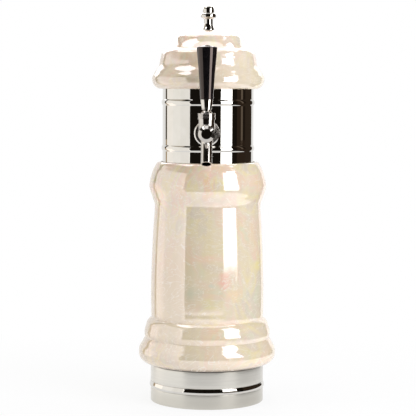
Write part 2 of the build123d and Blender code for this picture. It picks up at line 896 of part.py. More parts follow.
# Shaft: a slotted guide in the barrel and a rod back to the seat
guide_back = neck_at - guide_rear
slot_reach = arm_tip_radius + slot_gap
seat_back = tap_back - seat_washer_depth
rod_back = seat_back - shaft_nut_depth - 2 * loose
with BuildPart() as faucet_shaft:
    with BuildSketch(side):
        section(guide_back, guide_back + guide_length, 0, guide_radius)
        section(rod_back, guide_back, 0, rod_radius)
    revolve(axis=tap_axis)
    with BuildSketch(across_tap(guide_back)):
        with Locations((0, -guide_flat)):
            Rectangle(2 * guide_radius, guide_radius, align=(Align.CENTER, Align.MAX))
    extrude(amount=guide_length, mode=Mode.SUBTRACT)
    with BuildSketch(side):
        with Locations((neck_at, pivot_rise - arm_length - slot_reach)):
            Rectangle(2 * slot_reach, 2 * guide_radius, align=(Align.CENTER, Align.MIN))
    extrude(amount=slot_reach, both=True, mode=Mode.SUBTRACT)

# Seat washer that closes the barrel's bore, and the nut behind it
with BuildPart() as seat_washer:
    with BuildSketch(side):
        section(seat_back, tap_back - press_gap, rod_radius + press_gap, seat_washer_radius)
    revolve(axis=tap_axis)

with BuildPart() as shaft_nut:
    with BuildSketch(side):
        section(seat_back - shaft_nut_depth, seat_back, rod_radius + press_gap, shaft_nut_radius)
    revolve(axis=tap_axis)

# Tail washer, elbow tailpiece and the nut that draws it to the shank
tail_face = shank_back - tail_washer_depth
tail_back = tail_face - tail_flange_depth
with BuildPart() as tail_washer:
    with BuildSketch(side):
        section(tail_face, shank_back, shank_bore_radius, shank_radius - loose)
    revolve(axis=tap_axis)

with BuildPart() as tailpiece:
    with BuildSketch(side):
        section(tail_back, tail_face, barb_bore_radius, shank_radius - loose)
    revolve(axis=tap_axis)
    with BuildLine(side):
        FilletPolyline(
            (tail_back, 0),
            (0, 0),
            (0, -tail_bend_radius - barb_length),
            radius=tail_bend_radius,
        )
    with BuildSketch(across_tap(tail_back)):
        Circle(barb_radius)
        Circle(barb_bore_radius, mode=Mode.SUBTRACT)
    sweep()
    with BuildSketch(Plane.XZ):
        for tooth in range(1, barb_count + 1):
            tooth_top = tap_height - tail_bend_radius - barb_length + tooth * barb_pitch
            with BuildLine():
                Polyline(
                    (barb_radius - barb_groove, tooth_top),
                    (barb_radius + slip, tooth_top),
                    (barb_radius + slip, tooth_top - barb_pitch + barb_land),
                    close=True,
                )
            make_face()
    revolve(axis=Axis.Z, mode=Mode.SUBTRACT)

tail_nut_back = tail_back - tail_nut_lip
with BuildPart() as tail_nut:
    with BuildSketch(across_tap(tail_nut_back)):
        RegularPolygon(tail_nut_flats / 2, 6, major_radius=False)
    extrude(amount=tail_nut_lip + tail_nut_depth)
    with BuildSketch(side):
        section(tail_back, tail_back + tail_nut_depth, 0, shank_radius + slip)
        section(tail_nut_back, tail_back, 0, barb_radius + loose)
    revolve(axis=tap_axis, mode=Mode.SUBTRACT)

# Beer line down the column's axis, the inlet below it and a clamp on each barb
inlet_top = inlet_lift + inlet_length
hose_foot = inlet_top + inlet_hex_height
hose_top = tap_height - tail_bend_radius - loose
with BuildPart() as beer_hose:
    with BuildSketch(Plane.XZ):
        upright_section(hose_foot, hose_top, hose_bore_radius, hose_radius)
    revolve(axis=Axis.Z)

with BuildPart() as inlet_barb:
    with BuildSketch(Plane.XY.offset(inlet_top)):
        RegularPolygon(inlet_hex_flats / 2, 6, major_radius=False)
    extrude(amount=inlet_hex_height)
    with BuildSketch(Plane.XZ):
        upright_section(inlet_lift, inlet_top, 0, inlet_radius)
        upright_section(hose_foot, hose_foot + barb_length, 0, barb_radius)
    revolve(axis=Axis.Z)
    with BuildSketch(Plane.XZ):
        upright_section(inlet_lift, hose_foot + barb_length, 0, barb_bore_radius)
        for tooth in range(1, barb_count + 1):
            tooth_foot = hose_foot + barb_length - tooth * barb_pitch
            with BuildLine():
                Polyline(
                    (barb_radius - barb_groove, tooth_foot),
                    (barb_radius + slip, tooth_foot),
                    (barb_radius + slip, tooth_foot + barb_pitch - barb_land),
                    close=True,
                )
            make_face()
    revolve(axis=Axis.Z, mode=Mode.SUBTRACT)

with BuildPart() as hose_clamps:
    for clamp_centre in (hose_foot + barb_length / 2, hose_top - barb_length / 2):
        with BuildSketch(Plane.XY.offset(clamp_centre - clamp_width / 2)):
            Circle(hose_radius + clamp_thickness)
            with Locations((hose_radius + clamp_thickness / 2, 0)):
                Rectangle(clamp_ear, 1.5 * clamp_ear, align=(Align.MIN, Align.CENTER))
            Circle(hose_radius + press_gap, mode=Mode.SUBTRACT)
        extrude(amount=clamp_width)

pieces = {
    "base_pan": base_pan,
    "base_gasket": base_gasket,
    "base_trim_ring": base_trim_ring,
    "base_upper_collar": base_upper_collar,
    "column_foot_ring": column_foot_ring,
    "foot_screws": foot_screws,
    "body_seat_gasket": body_seat_gasket,
    "ceramic_body": ceramic_body,
    "body_top_seal": body_top_seal,
    "column_tube": column_tube,
    "insulation_core": insulation_core,
    "bridge_bar": bridge_bar,
    "lid_stud": lid_stud,
    "stud_nuts": stud_nuts,
    "lid_gasket": lid_gasket,
    "ceramic_lid": ceramic_lid,
    "finial_washer": finial_washer,
    "finial": finial,
    "shank": shank,
    "shank_flange": shank_flange,
    "shank_wall_washer": shank_wall_washer,
    "shank_locknut": shank_locknut,
    "coupling_washer": coupling_washer,
    "coupling_nut": coupling_nut,
    "faucet_body": faucet_body,
    "bonnet": bonnet,
    "ball_washer": ball_washer,
    "lever": lever,
    "lever_collar": lever_collar,
    "handle_ferrule": handle_ferrule,
    "handle_insert": handle_insert,
    "tap_handle": tap_handle,
    "faucet_shaft": faucet_shaft,
    "seat_washer": seat_washer,
    "shaft_nut": shaft_nut,
    "tail_washer": tail_washer,
    "tailpiece": tailpiece,
    "tail_nut": tail_nut,
    "beer_hose": beer_hose,
    "hose_clamps": hose_clamps,
    "inlet_barb": inlet_barb,
}

os.makedirs("parts", exist_ok=True)
for name, piece in pieces.items():
    piece.part.label = name
    export_step(piece.part, f"parts/{name}.step")
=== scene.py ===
"""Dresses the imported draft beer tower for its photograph.

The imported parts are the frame. The surfaces that show are turned again here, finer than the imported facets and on
the same sizes, and every part gets its finish: pearl glaze, polished and brushed metal, gloss black, rubber and
brass. The sizes of pieces are in millimetres, and those of the studio in metres.
"""

from __future__ import annotations

import json
import logging
import math
from dataclasses import dataclass, field
from enum import Enum

import bpy
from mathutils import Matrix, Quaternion, Vector

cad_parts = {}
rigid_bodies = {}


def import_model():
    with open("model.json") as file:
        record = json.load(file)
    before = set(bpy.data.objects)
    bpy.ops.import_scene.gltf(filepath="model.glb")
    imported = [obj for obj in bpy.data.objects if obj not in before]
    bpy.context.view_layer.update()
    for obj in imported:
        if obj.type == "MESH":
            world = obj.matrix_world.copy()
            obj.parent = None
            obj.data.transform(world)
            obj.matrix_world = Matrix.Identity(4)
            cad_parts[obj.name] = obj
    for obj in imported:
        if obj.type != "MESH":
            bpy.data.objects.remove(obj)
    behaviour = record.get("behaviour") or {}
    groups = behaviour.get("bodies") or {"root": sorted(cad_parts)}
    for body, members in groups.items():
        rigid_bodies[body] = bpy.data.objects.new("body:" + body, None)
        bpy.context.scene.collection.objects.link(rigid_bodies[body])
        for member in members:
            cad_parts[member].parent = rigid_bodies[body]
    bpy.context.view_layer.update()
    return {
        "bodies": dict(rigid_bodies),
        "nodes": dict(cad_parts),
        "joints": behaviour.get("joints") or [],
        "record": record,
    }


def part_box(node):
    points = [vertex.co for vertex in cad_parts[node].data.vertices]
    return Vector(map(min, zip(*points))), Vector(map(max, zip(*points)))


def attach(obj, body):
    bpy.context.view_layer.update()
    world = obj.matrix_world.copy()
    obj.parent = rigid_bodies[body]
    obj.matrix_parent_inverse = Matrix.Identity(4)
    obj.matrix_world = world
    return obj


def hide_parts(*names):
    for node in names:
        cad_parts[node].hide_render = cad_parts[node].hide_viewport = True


MM = 0.001
LOG = logging.getLogger("beer_tower")

Pair = tuple[float, float]
Triple = tuple[float, float, float]
Colour = tuple[float, float, float]

WHITE: Colour = (1.0, 1.0, 1.0)
BLACK: Colour = (0.0, 0.0, 0.0)

# Ranges that hold most of a noise pattern's values
NOISE_RANGE: Pair = (0.3, 0.7)
LATE_RANGE: Pair = (0.35, 0.7)

# Distance in metres within which points are joined, and degrees past which an edge is shaded as an edge
WELD: float = 1e-6
CREASE: float = 32.0

# How finely the small pieces and the glazed ones are turned
SMALL_STEPS: int = 96
GLAZED: dict[str, float] = {"steps": 200, "resolution": 10, "crease": 28.0}


class Slot(Enum):
    """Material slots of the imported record."""

    PEARL = "pearl_ceramic"
    CHROME = "polished_chrome"
    BRUSHED = "brushed_steel"
    BLACK = "black_plastic"
    RUBBER = "rubber"
    BRASS = "brass"
    FOAM = "foam"
    VINYL = "vinyl"
    STEEL = "steel"


class Turn(Enum):
    """How an outline passes a knot."""

    SMOOTH = "smooth"
    CORNER = "corner"


@dataclass(frozen=True)
class Knot:
    """One point of a turned piece's outline.

    Args:
        radius: Distance from the turning axis, in millimetres.
        along: Place along the turning axis, in millimetres.
        turn: Whether the outline runs smoothly through or breaks here.
        arrive: Direction in which the outline comes in, where it is set.
        leave: Direction in which the outline goes out, where it is set.
    """

    radius: float
    along: float
    turn: Turn = Turn.SMOOTH
    arrive: Pair | None = None
    leave: Pair | None = None


def corner(radius: float, along: float, arrive: Pair | None = None, leave: Pair | None = None) -> Knot:
    """Returns a knot where the outline breaks."""
    return Knot(radius, along, Turn.CORNER, arrive, leave)


def smooth(radius: float, along: float, through: Pair | None = None) -> Knot:
    """Returns a knot that the outline passes smoothly, in a set direction if one is given."""
    return Knot(radius, along, Turn.SMOOTH, through, through)


def halfway(start: Pair, end: Pair) -> Pair:
    """Returns the point halfway between two."""
    return ((start[0] + end[0]) / 2, (start[1] + end[1]) / 2)


def beside(point: Pair, step: Pair, through: Pair | None = None) -> Knot:
    """Returns a smooth knot a step away from a point of the outline."""
    return smooth(point[0] + step[0], point[1] + step[1], through)


def band(foot: float, top: float, low: float, high: float, edge: float, lean: float = 0.0) -> list[Knot]:
    """Returns the outer face of a ring, upwards, with lightly broken edges.

    Args:
        foot: Radius at the foot.
        top: Radius at the top.
        low: Place of the foot along the axis.
        high: Place of the top along the axis.
        edge: Size of the broken edges.
        lean: How far the face leans out for each step up.

    Returns:
        The face's four knots.
    """
    return [
        smooth(foot - edge, low, (1, 0)),
        smooth(foot, low + edge, (lean, 1)),
        smooth(top, high - edge, (lean, 1)),
        smooth(top - edge, high, (-1, 0)),
    ]


def heights(box: tuple[Vector, Vector]) -> Pair:
    """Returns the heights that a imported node's box runs between, in millimetres."""
    low, high = box
    return low.z / MM, high.z / MM


@dataclass(frozen=True)
class Lathe:
    """The axis that pieces are turned about.

    Args:
        centre: A point on the axis, in metres.
        axis: Direction of the axis, from which places along it are counted.
        outward: Direction of the radius at the start of the turn.
    """

    centre: Triple = (0.0, 0.0, 0.0)
    axis: Triple = (0.0, 0.0, 1.0)
    outward: Triple = (1.0, 0.0, 0.0)

    def place(self, radius: float, along: float) -> Vector:
        """Returns the point of the scene for a radius and a place along the axis, in millimetres."""
        return Vector(self.centre) + MM * (radius * Vector(self.outward) + along * Vector(self.axis))


class Bench:
    """Modelling steps that every piece shares, each made of Blender's own operators."""

    @staticmethod
    def clear() -> None:
        """Leaves nothing selected."""
        bpy.ops.object.select_all(action="DESELECT")

    @staticmethod
    def pick(piece: bpy.types.Object) -> None:
        """Selects one piece and makes it active."""
        Bench.clear()
        piece.select_set(True)
        bpy.context.view_layer.objects.active = piece

    @staticmethod
    def directions(knots: list[Knot], closed: bool) -> list[tuple[Vector, Vector]]:
        """Works out how the outline comes to and goes from each knot.

        Args:
            knots: The outline.
            closed: Whether the last knot joins the first.

        Returns:
            A unit direction in and a unit direction out for each knot.
        """
        count = len(knots)
        places = [Vector((knot.radius, knot.along)) for knot in knots]
        found = []
        for index, knot in enumerate(knots):
            before = places[index - 1] if closed or index else places[index]
            after = places[(index + 1) % count] if closed or index + 1 < count else places[index]
            into, onward = places[index] - before, after - places[index]
            if into.length == 0:
                into = onward
            if onward.length == 0:
                onward = into
            if knot.turn is Turn.SMOOTH:
                through = into.normalized() * onward.length + onward.normalized() * into.length
                into = onward = through
            arrive = Vector(knot.arrive) if knot.arrive else into
            leave = Vector(knot.leave) if knot.leave else onward
            found.append((arrive.normalized(), leave.normalized()))
        return found

    @staticmethod
    def outline(name: str, knots: list[Knot], lathe: Lathe, closed: bool, resolution: int) -> bpy.types.Object:
        """Draws an outline as a Bezier curve whose handles follow the knots' directions.

        Args:
            name: The piece's name.
            knots: The outline.
            lathe: The axis that it lies beside.
            closed: Whether the last knot joins the first.
            resolution: Steps in each curved stretch.

        Returns:
            The outline as a mesh of edges.
        """
        Bench.clear()
        bpy.ops.curve.primitive_bezier_curve_add(location=(0, 0, 0))
        drawn = bpy.context.object
        drawn.name = name
        drawn.data.dimensions = "3D"
        drawn.data.resolution_u = resolution
        spline = drawn.data.splines[0]
        spline.bezier_points.add(len(knots) - len(spline.bezier_points))
        spline.use_cyclic_u = closed
        ways = Bench.directions(knots, closed)
        for index, (point, knot) in enumerate(zip(spline.bezier_points, knots)):
            here = Vector((knot.radius, knot.along))
            before, after = knots[index - 1], knots[(index + 1) % len(knots)]
            back = Bench.handle(Vector((before.radius, before.along)), here, ways[index - 1][1], ways[index][0])
            forth = Bench.handle(
                here, Vector((after.radius, after.along)), ways[index][1], ways[(index + 1) % len(knots)][0]
            )
            point.handle_left_type = point.handle_right_type = "FREE"
            point.co = lathe.place(*here)
            point.handle_left = lathe.place(*(here - back * ways[index][0]))
            point.handle_right = lathe.place(*(here + forth * ways[index][1]))
        Bench.pick(drawn)
        bpy.ops.object.convert(target="MESH")
        return bpy.context.object

    @staticmethod
    def handle(start: Vector, end: Vector, leave: Vector, arrive: Vector) -> float:
        """Returns the handle length that makes a stretch round, from its chord and how far it turns."""
        turned = leave.angle(arrive, 0.0)
        return (end - start).length / (3 * math.cos(turned / 4) ** 2)

    @staticmethod
    def turn(
        name: str,
        knots: list[Knot],
        lathe: Lathe = Lathe(),
        closed: bool = True,
        steps: int = 160,
        resolution: int = 8,
        crease: float = CREASE,
        angle: float = 360.0,
    ) -> bpy.types.Object:
        """Turns an outline into a closed solid, or into a curved sheet where the turn is a part of the circle.

        Args:
            name: The piece's name.
            knots: The outline. An open one starts and ends on the axis.
            lathe: The axis that it is turned about.
            closed: Whether the last knot joins the first.
            steps: Steps in the turn.
            resolution: Steps in each curved stretch of the outline.
            crease: Angle in degrees past which an edge is shaded as an edge.
            angle: How far it is turned, in degrees, clockwise seen from the axis's far end.

        Returns:
            The turned piece.
        """
        piece = Bench.outline(name, knots, lathe, closed, resolution)
        bpy.ops.object.mode_set(mode="EDIT")
        bpy.ops.mesh.select_all(action="SELECT")
        bpy.ops.mesh.remove_doubles(threshold=WELD)
        bpy.ops.mesh.select_all(action="SELECT")
        bpy.ops.mesh.spin(steps=steps, angle=math.radians(angle), center=lathe.centre, axis=lathe.axis)
        bpy.ops.mesh.select_all(action="SELECT")
        bpy.ops.mesh.remove_doubles(threshold=2 * WELD)
        bpy.ops.mesh.normals_make_consistent(inside=False)
        bpy.ops.object.mode_set(mode="OBJECT")
        Bench.shade(piece, crease)
        return piece

    @staticmethod
    def shade(piece: bpy.types.Object, crease: float = CREASE) -> None:
        """Shades a piece smooth up to an angle in degrees."""
        Bench.pick(piece)
        bpy.ops.object.shade_smooth_by_angle(angle=math.radians(crease))

    @staticmethod
    def drill(
        piece: bpy.types.Object,
        centre: Triple,
        radius: float,
        depth: float,
        sides: int = 32,
        tilt: float = 0.0,
    ) -> None:
        """Cuts a round hole through a piece.

        Args:
            piece: The piece.
            centre: Middle of the hole, in metres.
            radius: Radius of the hole, in millimetres.
            depth: Length of the drill, in millimetres.
            sides: Steps round the hole.
            tilt: How far the hole leans from upright about the X axis, in degrees.
        """
        Bench.clear()
        bpy.ops.mesh.primitive_cylinder_add(
            vertices=sides,
            radius=radius * MM,
            depth=depth * MM,
            location=centre,
            rotation=(math.radians(tilt), 0, 0),
        )
        drill = bpy.context.object
        Bench.pick(piece)
        modifier = piece.modifiers.new("hole", "BOOLEAN")
        modifier.operation = "DIFFERENCE"
        modifier.solver = "EXACT"
        modifier.object = drill
        bpy.ops.object.modifier_apply(modifier=modifier.name)
        bpy.data.objects.remove(drill)


@dataclass(frozen=True)
class Grain:
    """A noise pattern fixed to a piece.

    Args:
        scale: Repeats a metre.
        detail: How many finer patterns lie in it.
        warp: How far it is distorted.
        squeeze: How much finer it is along each axis.
    """

    scale: float
    detail: float
    warp: float = 0.0
    squeeze: Triple = (1.0, 1.0, 1.0)


@dataclass(frozen=True)
class Bloom:
    """A cloud of colour in the glaze.

    Args:
        centre: Its centre, in millimetres.
        size: How far it reaches along each axis, in millimetres.
        strength: How much of its colour shows at its centre.
        colour: Its colour.
    """

    centre: Triple
    size: Triple
    strength: float
    colour: Colour


# How the edge of a bloom is torn, and how far, in shares of its size
TORN_EDGE: Grain = Grain(60.0, 3.0, 1.0)
TORN_REACH: float = 1.6


class Tree:
    """A node tree, with short ways to add to it."""

    def __init__(self, tree: bpy.types.NodeTree) -> None:
        """Takes up a tree."""
        self.tree = tree

    def put(self, node: bpy.types.Node, key: int | str, value: object) -> None:
        """Links a socket to an input of a node, or sets its value."""
        if isinstance(value, bpy.types.NodeSocket):
            self.tree.links.new(value, node.inputs[key])
        else:
            node.inputs[key].default_value = value

    def add(self, kind: str, **inputs: object) -> bpy.types.Node:
        """Adds a node and sets its inputs, where underscores in a name stand for spaces."""
        node = self.tree.nodes.new(kind)
        for key, value in inputs.items():
            self.put(node, key.replace("_", " "), value)
        return node

    def feed(self, kind: str, *values: object, operation: str | None = None) -> bpy.types.Node:
        """Adds a node, chooses its operation if it has one, and sets its inputs in order."""
        node = self.tree.nodes.new(kind)
        if operation:
            node.operation = operation
        for index, value in enumerate(values):
            self.put(node, index, value)
        return node

    def show(self, shader: bpy.types.Node, output: str = "Material Output") -> None:
        """Makes a shader the one that the tree gives out."""
        self.tree.links.new(shader.outputs[0], self.tree.nodes[output].inputs["Surface"])

    def seen_directly(self) -> bpy.types.NodeSocket:
        """Returns 1 for rays of the camera, of reflections and through glass, and 0 for other rays."""
        path = self.add("ShaderNodeLightPath")
        found = path.outputs["Is Camera Ray"]
        for name in ("Is Glossy Ray", "Is Transmission Ray"):
            found = self.feed("ShaderNodeMath", found, path.outputs[name], operation="MAXIMUM").outputs[0]
        return found


class Board(Tree):
    """A material's node tree."""

    def __init__(self, name: str) -> None:
        """Starts a material with a Principled shader."""
        self.material = bpy.data.materials.new(name)
        self.material.use_nodes = True
        super().__init__(self.material.node_tree)
        self.shader = self.tree.nodes["Principled BSDF"]

    def finish(self, **inputs: object) -> bpy.types.Material:
        """Sets or links the shader's own inputs and returns the material."""
        for key, value in inputs.items():
            self.put(self.shader, key.replace("_", " "), value)
        return self.material

    def place(self, scale: Triple = (1.0, 1.0, 1.0), shift: Triple = (0.0, 0.0, 0.0)) -> bpy.types.NodeSocket:
        """Returns the piece's own coordinates, in metres times a scale and then moved."""
        source = self.add("ShaderNodeTexCoord")
        mapping = self.add("ShaderNodeMapping", Vector=source.outputs["Object"], Scale=scale, Location=shift)
        return mapping.outputs["Vector"]

    def noise(self, grain: Grain, output: str = "Fac") -> bpy.types.NodeSocket:
        """Returns a noise pattern, as a factor or as a colour."""
        where = self.place(grain.squeeze)
        node = self.add(
            "ShaderNodeTexNoise", Vector=where, Scale=grain.scale, Detail=grain.detail, Distortion=grain.warp
        )
        return node.outputs[output]

    def ramp(self, factor: bpy.types.NodeSocket, stops: list[tuple[float, Colour]]) -> bpy.types.NodeSocket:
        """Returns a colour read from stops by a factor."""
        node = self.add("ShaderNodeValToRGB", Fac=factor)
        while len(node.color_ramp.elements) < len(stops):
            node.color_ramp.elements.new(0.5)
        for element, (place, colour) in zip(node.color_ramp.elements, stops):
            element.position = place
            element.color = (*colour, 1.0)
        return node.outputs["Color"]

    def tones(
        self, factor: bpy.types.NodeSocket, dark: Colour, light: Colour, stops: Pair = NOISE_RANGE
    ) -> bpy.types.NodeSocket:
        """Returns a colour between a dark and a light one, read by a noise pattern."""
        return self.ramp(factor, list(zip(stops, (dark, light))))

    def remap(
        self, factor: bpy.types.NodeSocket, start: float, end: float, low: float, high: float, ease: str = "LINEAR"
    ) -> bpy.types.NodeSocket:
        """Returns a factor carried over from one range of values to another.

        Args:
            factor: The factor.
            start: Start of its range.
            end: End of its range.
            low: The new value at the start.
            high: The new value at the end.
            ease: How it runs between them.

        Returns:
            The new factor, which stays within the new range.
        """
        node = self.add("ShaderNodeMapRange", Value=factor, From_Min=start, From_Max=end, To_Min=low, To_Max=high)
        node.interpolation_type = ease
        return node.outputs["Result"]

    def spread(self, factor: bpy.types.NodeSocket, low: float, high: float) -> bpy.types.NodeSocket:
        """Returns a noise pattern carried over to a range of values."""
        return self.remap(factor, *NOISE_RANGE, low, high)

    def height(self, start: float, end: float, most: float) -> bpy.types.NodeSocket:
        """Returns a factor that grows from 0 to a most between two heights of the piece, in millimetres."""
        split = self.add("ShaderNodeSeparateXYZ", Vector=self.place())
        return self.remap(split.outputs["Z"], start * MM, end * MM, 0.0, most)

    def cloud(self, bloom: Bloom) -> bpy.types.NodeSocket:
        """Returns a factor that fades from a bloom's strength at its centre to 0, with a torn edge."""
        scale = tuple(1 / (part * MM) for part in bloom.size)
        shift = tuple(-at / part for at, part in zip(bloom.centre, bloom.size))
        tear = 3 * (TORN_REACH,)
        middle = 3 * (TORN_REACH / 2,)
        torn = self.feed(
            "ShaderNodeVectorMath",
            self.noise(TORN_EDGE, "Color"),
            tear,
            self.place(scale, shift),
            operation="MULTIPLY_ADD",
        )
        reach = self.feed("ShaderNodeVectorMath", torn.outputs["Vector"], middle, operation="DISTANCE")
        return self.remap(reach.outputs["Value"], 1.0, 0.0, 0.0, bloom.strength, "SMOOTHSTEP")

    def blend(self, factor: object, first: object, second: object) -> bpy.types.NodeSocket:
        """Returns a mix of two colours."""
        node = self.tree.nodes.new("ShaderNodeMix")
        node.data_type = "RGBA"
        for index, value in ((0, factor), (6, first), (7, second)):
            self.put(node, index, (*value, 1.0) if isinstance(value, tuple) else value)
        return node.outputs[2]

    def bump(self, height: bpy.types.NodeSocket, depth: float) -> bpy.types.NodeSocket:
        """Returns a normal with relief of a depth in millimetres."""
        node = self.add("ShaderNodeBump", Height=height, Distance=depth * MM, Strength=1.0)
        return node.outputs["Normal"]


@dataclass(frozen=True)
class PearlGlaze:
    """Cream porcelain under a lustre glaze that drifts between rose, gold and green, with painted shade at the
    foot's underside and painted light on the lid's upper part.
    """

    cream: Colour = (0.90, 0.77, 0.555)
    sand: Colour = (0.86, 0.715, 0.49)
    rose: Colour = (1.0, 0.60, 0.50)
    gold: Colour = (0.98, 0.83, 0.34)
    green: Colour = (0.70, 0.77, 0.55)
    orange: Colour = (1.0, 0.66, 0.36)
    mauve: Colour = (0.76, 0.62, 0.57)
    # Painted light: colour that makes the lid's upper part paler
    pale: Colour = (0.93, 0.80, 0.69)
    vein: Colour = (0.975, 0.885, 0.735)
    streak: Colour = (0.95, 0.84, 0.66)
    # Painted shade: dark brown at the foot's underside, where the ceramic sits on the base
    foot_shade: Colour = (0.32, 0.245, 0.165)
    drift: Grain = Grain(7.0, 1.5, 0.4)
    cover: Grain = Grain(7.0, 1.0, 0.8)
    swirl: Grain = Grain(15.0, 3.0, 1.8, (1.0, 1.0, 0.7))
    fleck: Grain = Grain(48.0, 2.5, 1.2, (1.0, 1.0, 0.6))
    veil: Grain = Grain(16.0, 3.0, 4.5, (1.0, 1.0, 2.2))
    runs: Grain = Grain(110.0, 3.0, 0.0, (1.0, 1.0, 0.06))
    ripple: Grain = Grain(26.0, 1.0)
    fleck_share: float = 0.3
    runs_most: float = 0.35
    vein_middle: float = 0.50
    vein_half: float = 0.018
    ripple_depth: float = 0.3
    # Painted light: heights in millimetres over which the lid turns paler, and how far
    pale_from: float = 400.0
    pale_to: float = 450.0
    pale_most: float = 0.25
    # Painted shade: height in millimetres below which the foot darkens, over how far it fades in, and how far
    foot_shade_to: float = 54.0
    foot_shade_fade: float = 1.6
    foot_shade_most: float = 0.85
    blooms: tuple[Bloom, ...] = (
        Bloom((24.0, -69.0, 167.0), (15.0, 30.0, 17.0), 1.0, (1.0, 0.57, 0.43)),
        Bloom((37.0, -63.0, 150.0), (15.0, 30.0, 12.0), 0.85, (1.0, 0.72, 0.42)),
        Bloom((20.0, -72.0, 196.0), (14.0, 30.0, 7.0), 0.45, (1.0, 0.72, 0.56)),
        Bloom((68.0, -32.0, 186.0), (8.0, 24.0, 17.0), 0.75, (0.98, 0.85, 0.36)),
        Bloom((70.0, -24.0, 225.0), (7.0, 24.0, 30.0), 0.40, (0.98, 0.84, 0.44)),
        Bloom((2.0, -74.0, 138.0), (17.0, 30.0, 9.0), 0.55, (0.86, 0.84, 0.40)),
        Bloom((6.0, -74.0, 160.0), (8.0, 30.0, 5.0), 0.60, (0.70, 0.78, 0.66)),
        Bloom((-8.0, -74.0, 176.0), (14.0, 30.0, 12.0), 0.35, (0.80, 0.82, 0.52)),
        Bloom((52.0, -52.0, 240.0), (6.0, 24.0, 40.0), 0.40, (0.74, 0.80, 0.66)),
        Bloom((48.0, -66.0, 104.0), (16.0, 30.0, 9.0), 0.45, (1.0, 0.80, 0.50)),
        Bloom((8.0, -82.0, 104.0), (14.0, 30.0, 8.0), 0.50, (0.98, 0.66, 0.44)),
        Bloom((-56.0, -50.0, 210.0), (10.0, 26.0, 60.0), 0.30, (0.98, 0.72, 0.62)),
        Bloom((0.0, -74.0, 269.0), (50.0, 34.0, 15.0), 0.70, (0.76, 0.65, 0.48)),
        Bloom((-4.0, -74.0, 194.0), (30.0, 30.0, 9.0), 0.75, (1.0, 0.68, 0.50)),
        Bloom((-16.0, -72.0, 150.0), (18.0, 30.0, 16.0), 0.60, (0.68, 0.70, 0.52)),
        Bloom((50.0, -52.0, 148.0), (8.0, 24.0, 14.0), 0.50, (0.74, 0.80, 0.72)),
        Bloom((-6.0, -72.0, 236.0), (26.0, 30.0, 24.0), 0.35, (0.80, 0.71, 0.48)),
        Bloom((40.0, -36.0, 452.0), (12.0, 26.0, 10.0), 0.50, (1.0, 0.70, 0.58)),
        Bloom((-46.0, -40.0, 456.0), (18.0, 26.0, 5.0), 0.60, (0.98, 0.68, 0.42)),
    )

    def pattern(self, board: Board) -> bpy.types.NodeSocket:
        """Returns the ground colour, with the swirls and flecks that drift over it."""
        ground = board.blend(board.spread(board.noise(self.drift), 0.0, 1.0), self.sand, self.cream)
        swirls = [
            (0.33, self.green),
            (0.40, self.mauve),
            (0.46, self.gold),
            (0.50, self.cream),
            (0.55, self.rose),
            (0.61, self.orange),
            (0.67, self.green),
            (0.74, self.gold),
        ]
        flecks = [(0.36, self.green), (0.46, self.cream), (0.54, self.cream), (0.62, self.gold), (0.70, self.rose)]
        tint = board.ramp(board.noise(self.swirl), swirls)
        spots = board.ramp(board.noise(self.fleck), flecks)
        share = board.spread(board.noise(self.cover), 0.0, 1.0)
        return board.blend(share, ground, board.blend(self.fleck_share, tint, spots))

    def material(self) -> bpy.types.Material:
        """Builds the glaze."""
        board = Board("pearl_glaze")
        colour = self.pattern(board)
        for bloom in self.blooms:
            colour = board.blend(board.cloud(bloom), colour, bloom.colour)
        # Painted light: paler towards the top of the lid
        colour = board.blend(board.height(self.pale_from, self.pale_to, self.pale_most), colour, self.pale)
        # Painted shade under the foot, where the ceramic meets the base
        foot_shade_mask = board.height(self.foot_shade_to, self.foot_shade_to - self.foot_shade_fade, self.foot_shade_most)
        colour = board.blend(foot_shade_mask, colour, self.foot_shade)
        colour = board.blend(board.spread(board.noise(self.runs), 0.0, self.runs_most), colour, self.streak)
        low, middle, high = (self.vein_middle + side * self.vein_half for side in (-1, 0, 1))
        veins = board.ramp(board.noise(self.veil), [(low, BLACK), (middle, WHITE), (high, BLACK)])
        relief = board.bump(board.noise(self.ripple), self.ripple_depth)
        return board.finish(
            Base_Color=board.blend(veins, colour, self.vein),
            Roughness=0.09,
            IOR=2.0,
            Specular_IOR_Level=0.9,
            Specular_Tint=(1.0, 0.90, 0.98, 1.0),
            Coat_Weight=0.25,
            Coat_Roughness=0.02,
            Normal=relief,
            Coat_Normal=relief,
        )


@dataclass(frozen=True)
class PolishedChrome:
    """Mirror chrome with faint wiping marks.

    Args:
        name: The material's name.
        dull: Colour of the duller patches.
        bright: Colour of the brighter patches.
        least: Roughness of the smoothest marks.
        most: Roughness of the roughest marks.
    """

    name: str = "polished_chrome"
    dull: Colour = (0.65, 0.63, 0.59)
    bright: Colour = (0.69, 0.67, 0.64)
    least: float = 0.015
    most: float = 0.045
    marks: Grain = Grain(420.0, 4.0, 0.0, (1.0, 1.0, 0.35))
    haze: Grain = Grain(60.0, 2.0)

    def material(self) -> bpy.types.Material:
        """Builds the chrome."""
        board = Board(self.name)
        return board.finish(
            Base_Color=board.tones(board.noise(self.haze), self.dull, self.bright),
            Metallic=1.0,
            Roughness=board.spread(board.noise(self.marks), self.least, self.most),
        )


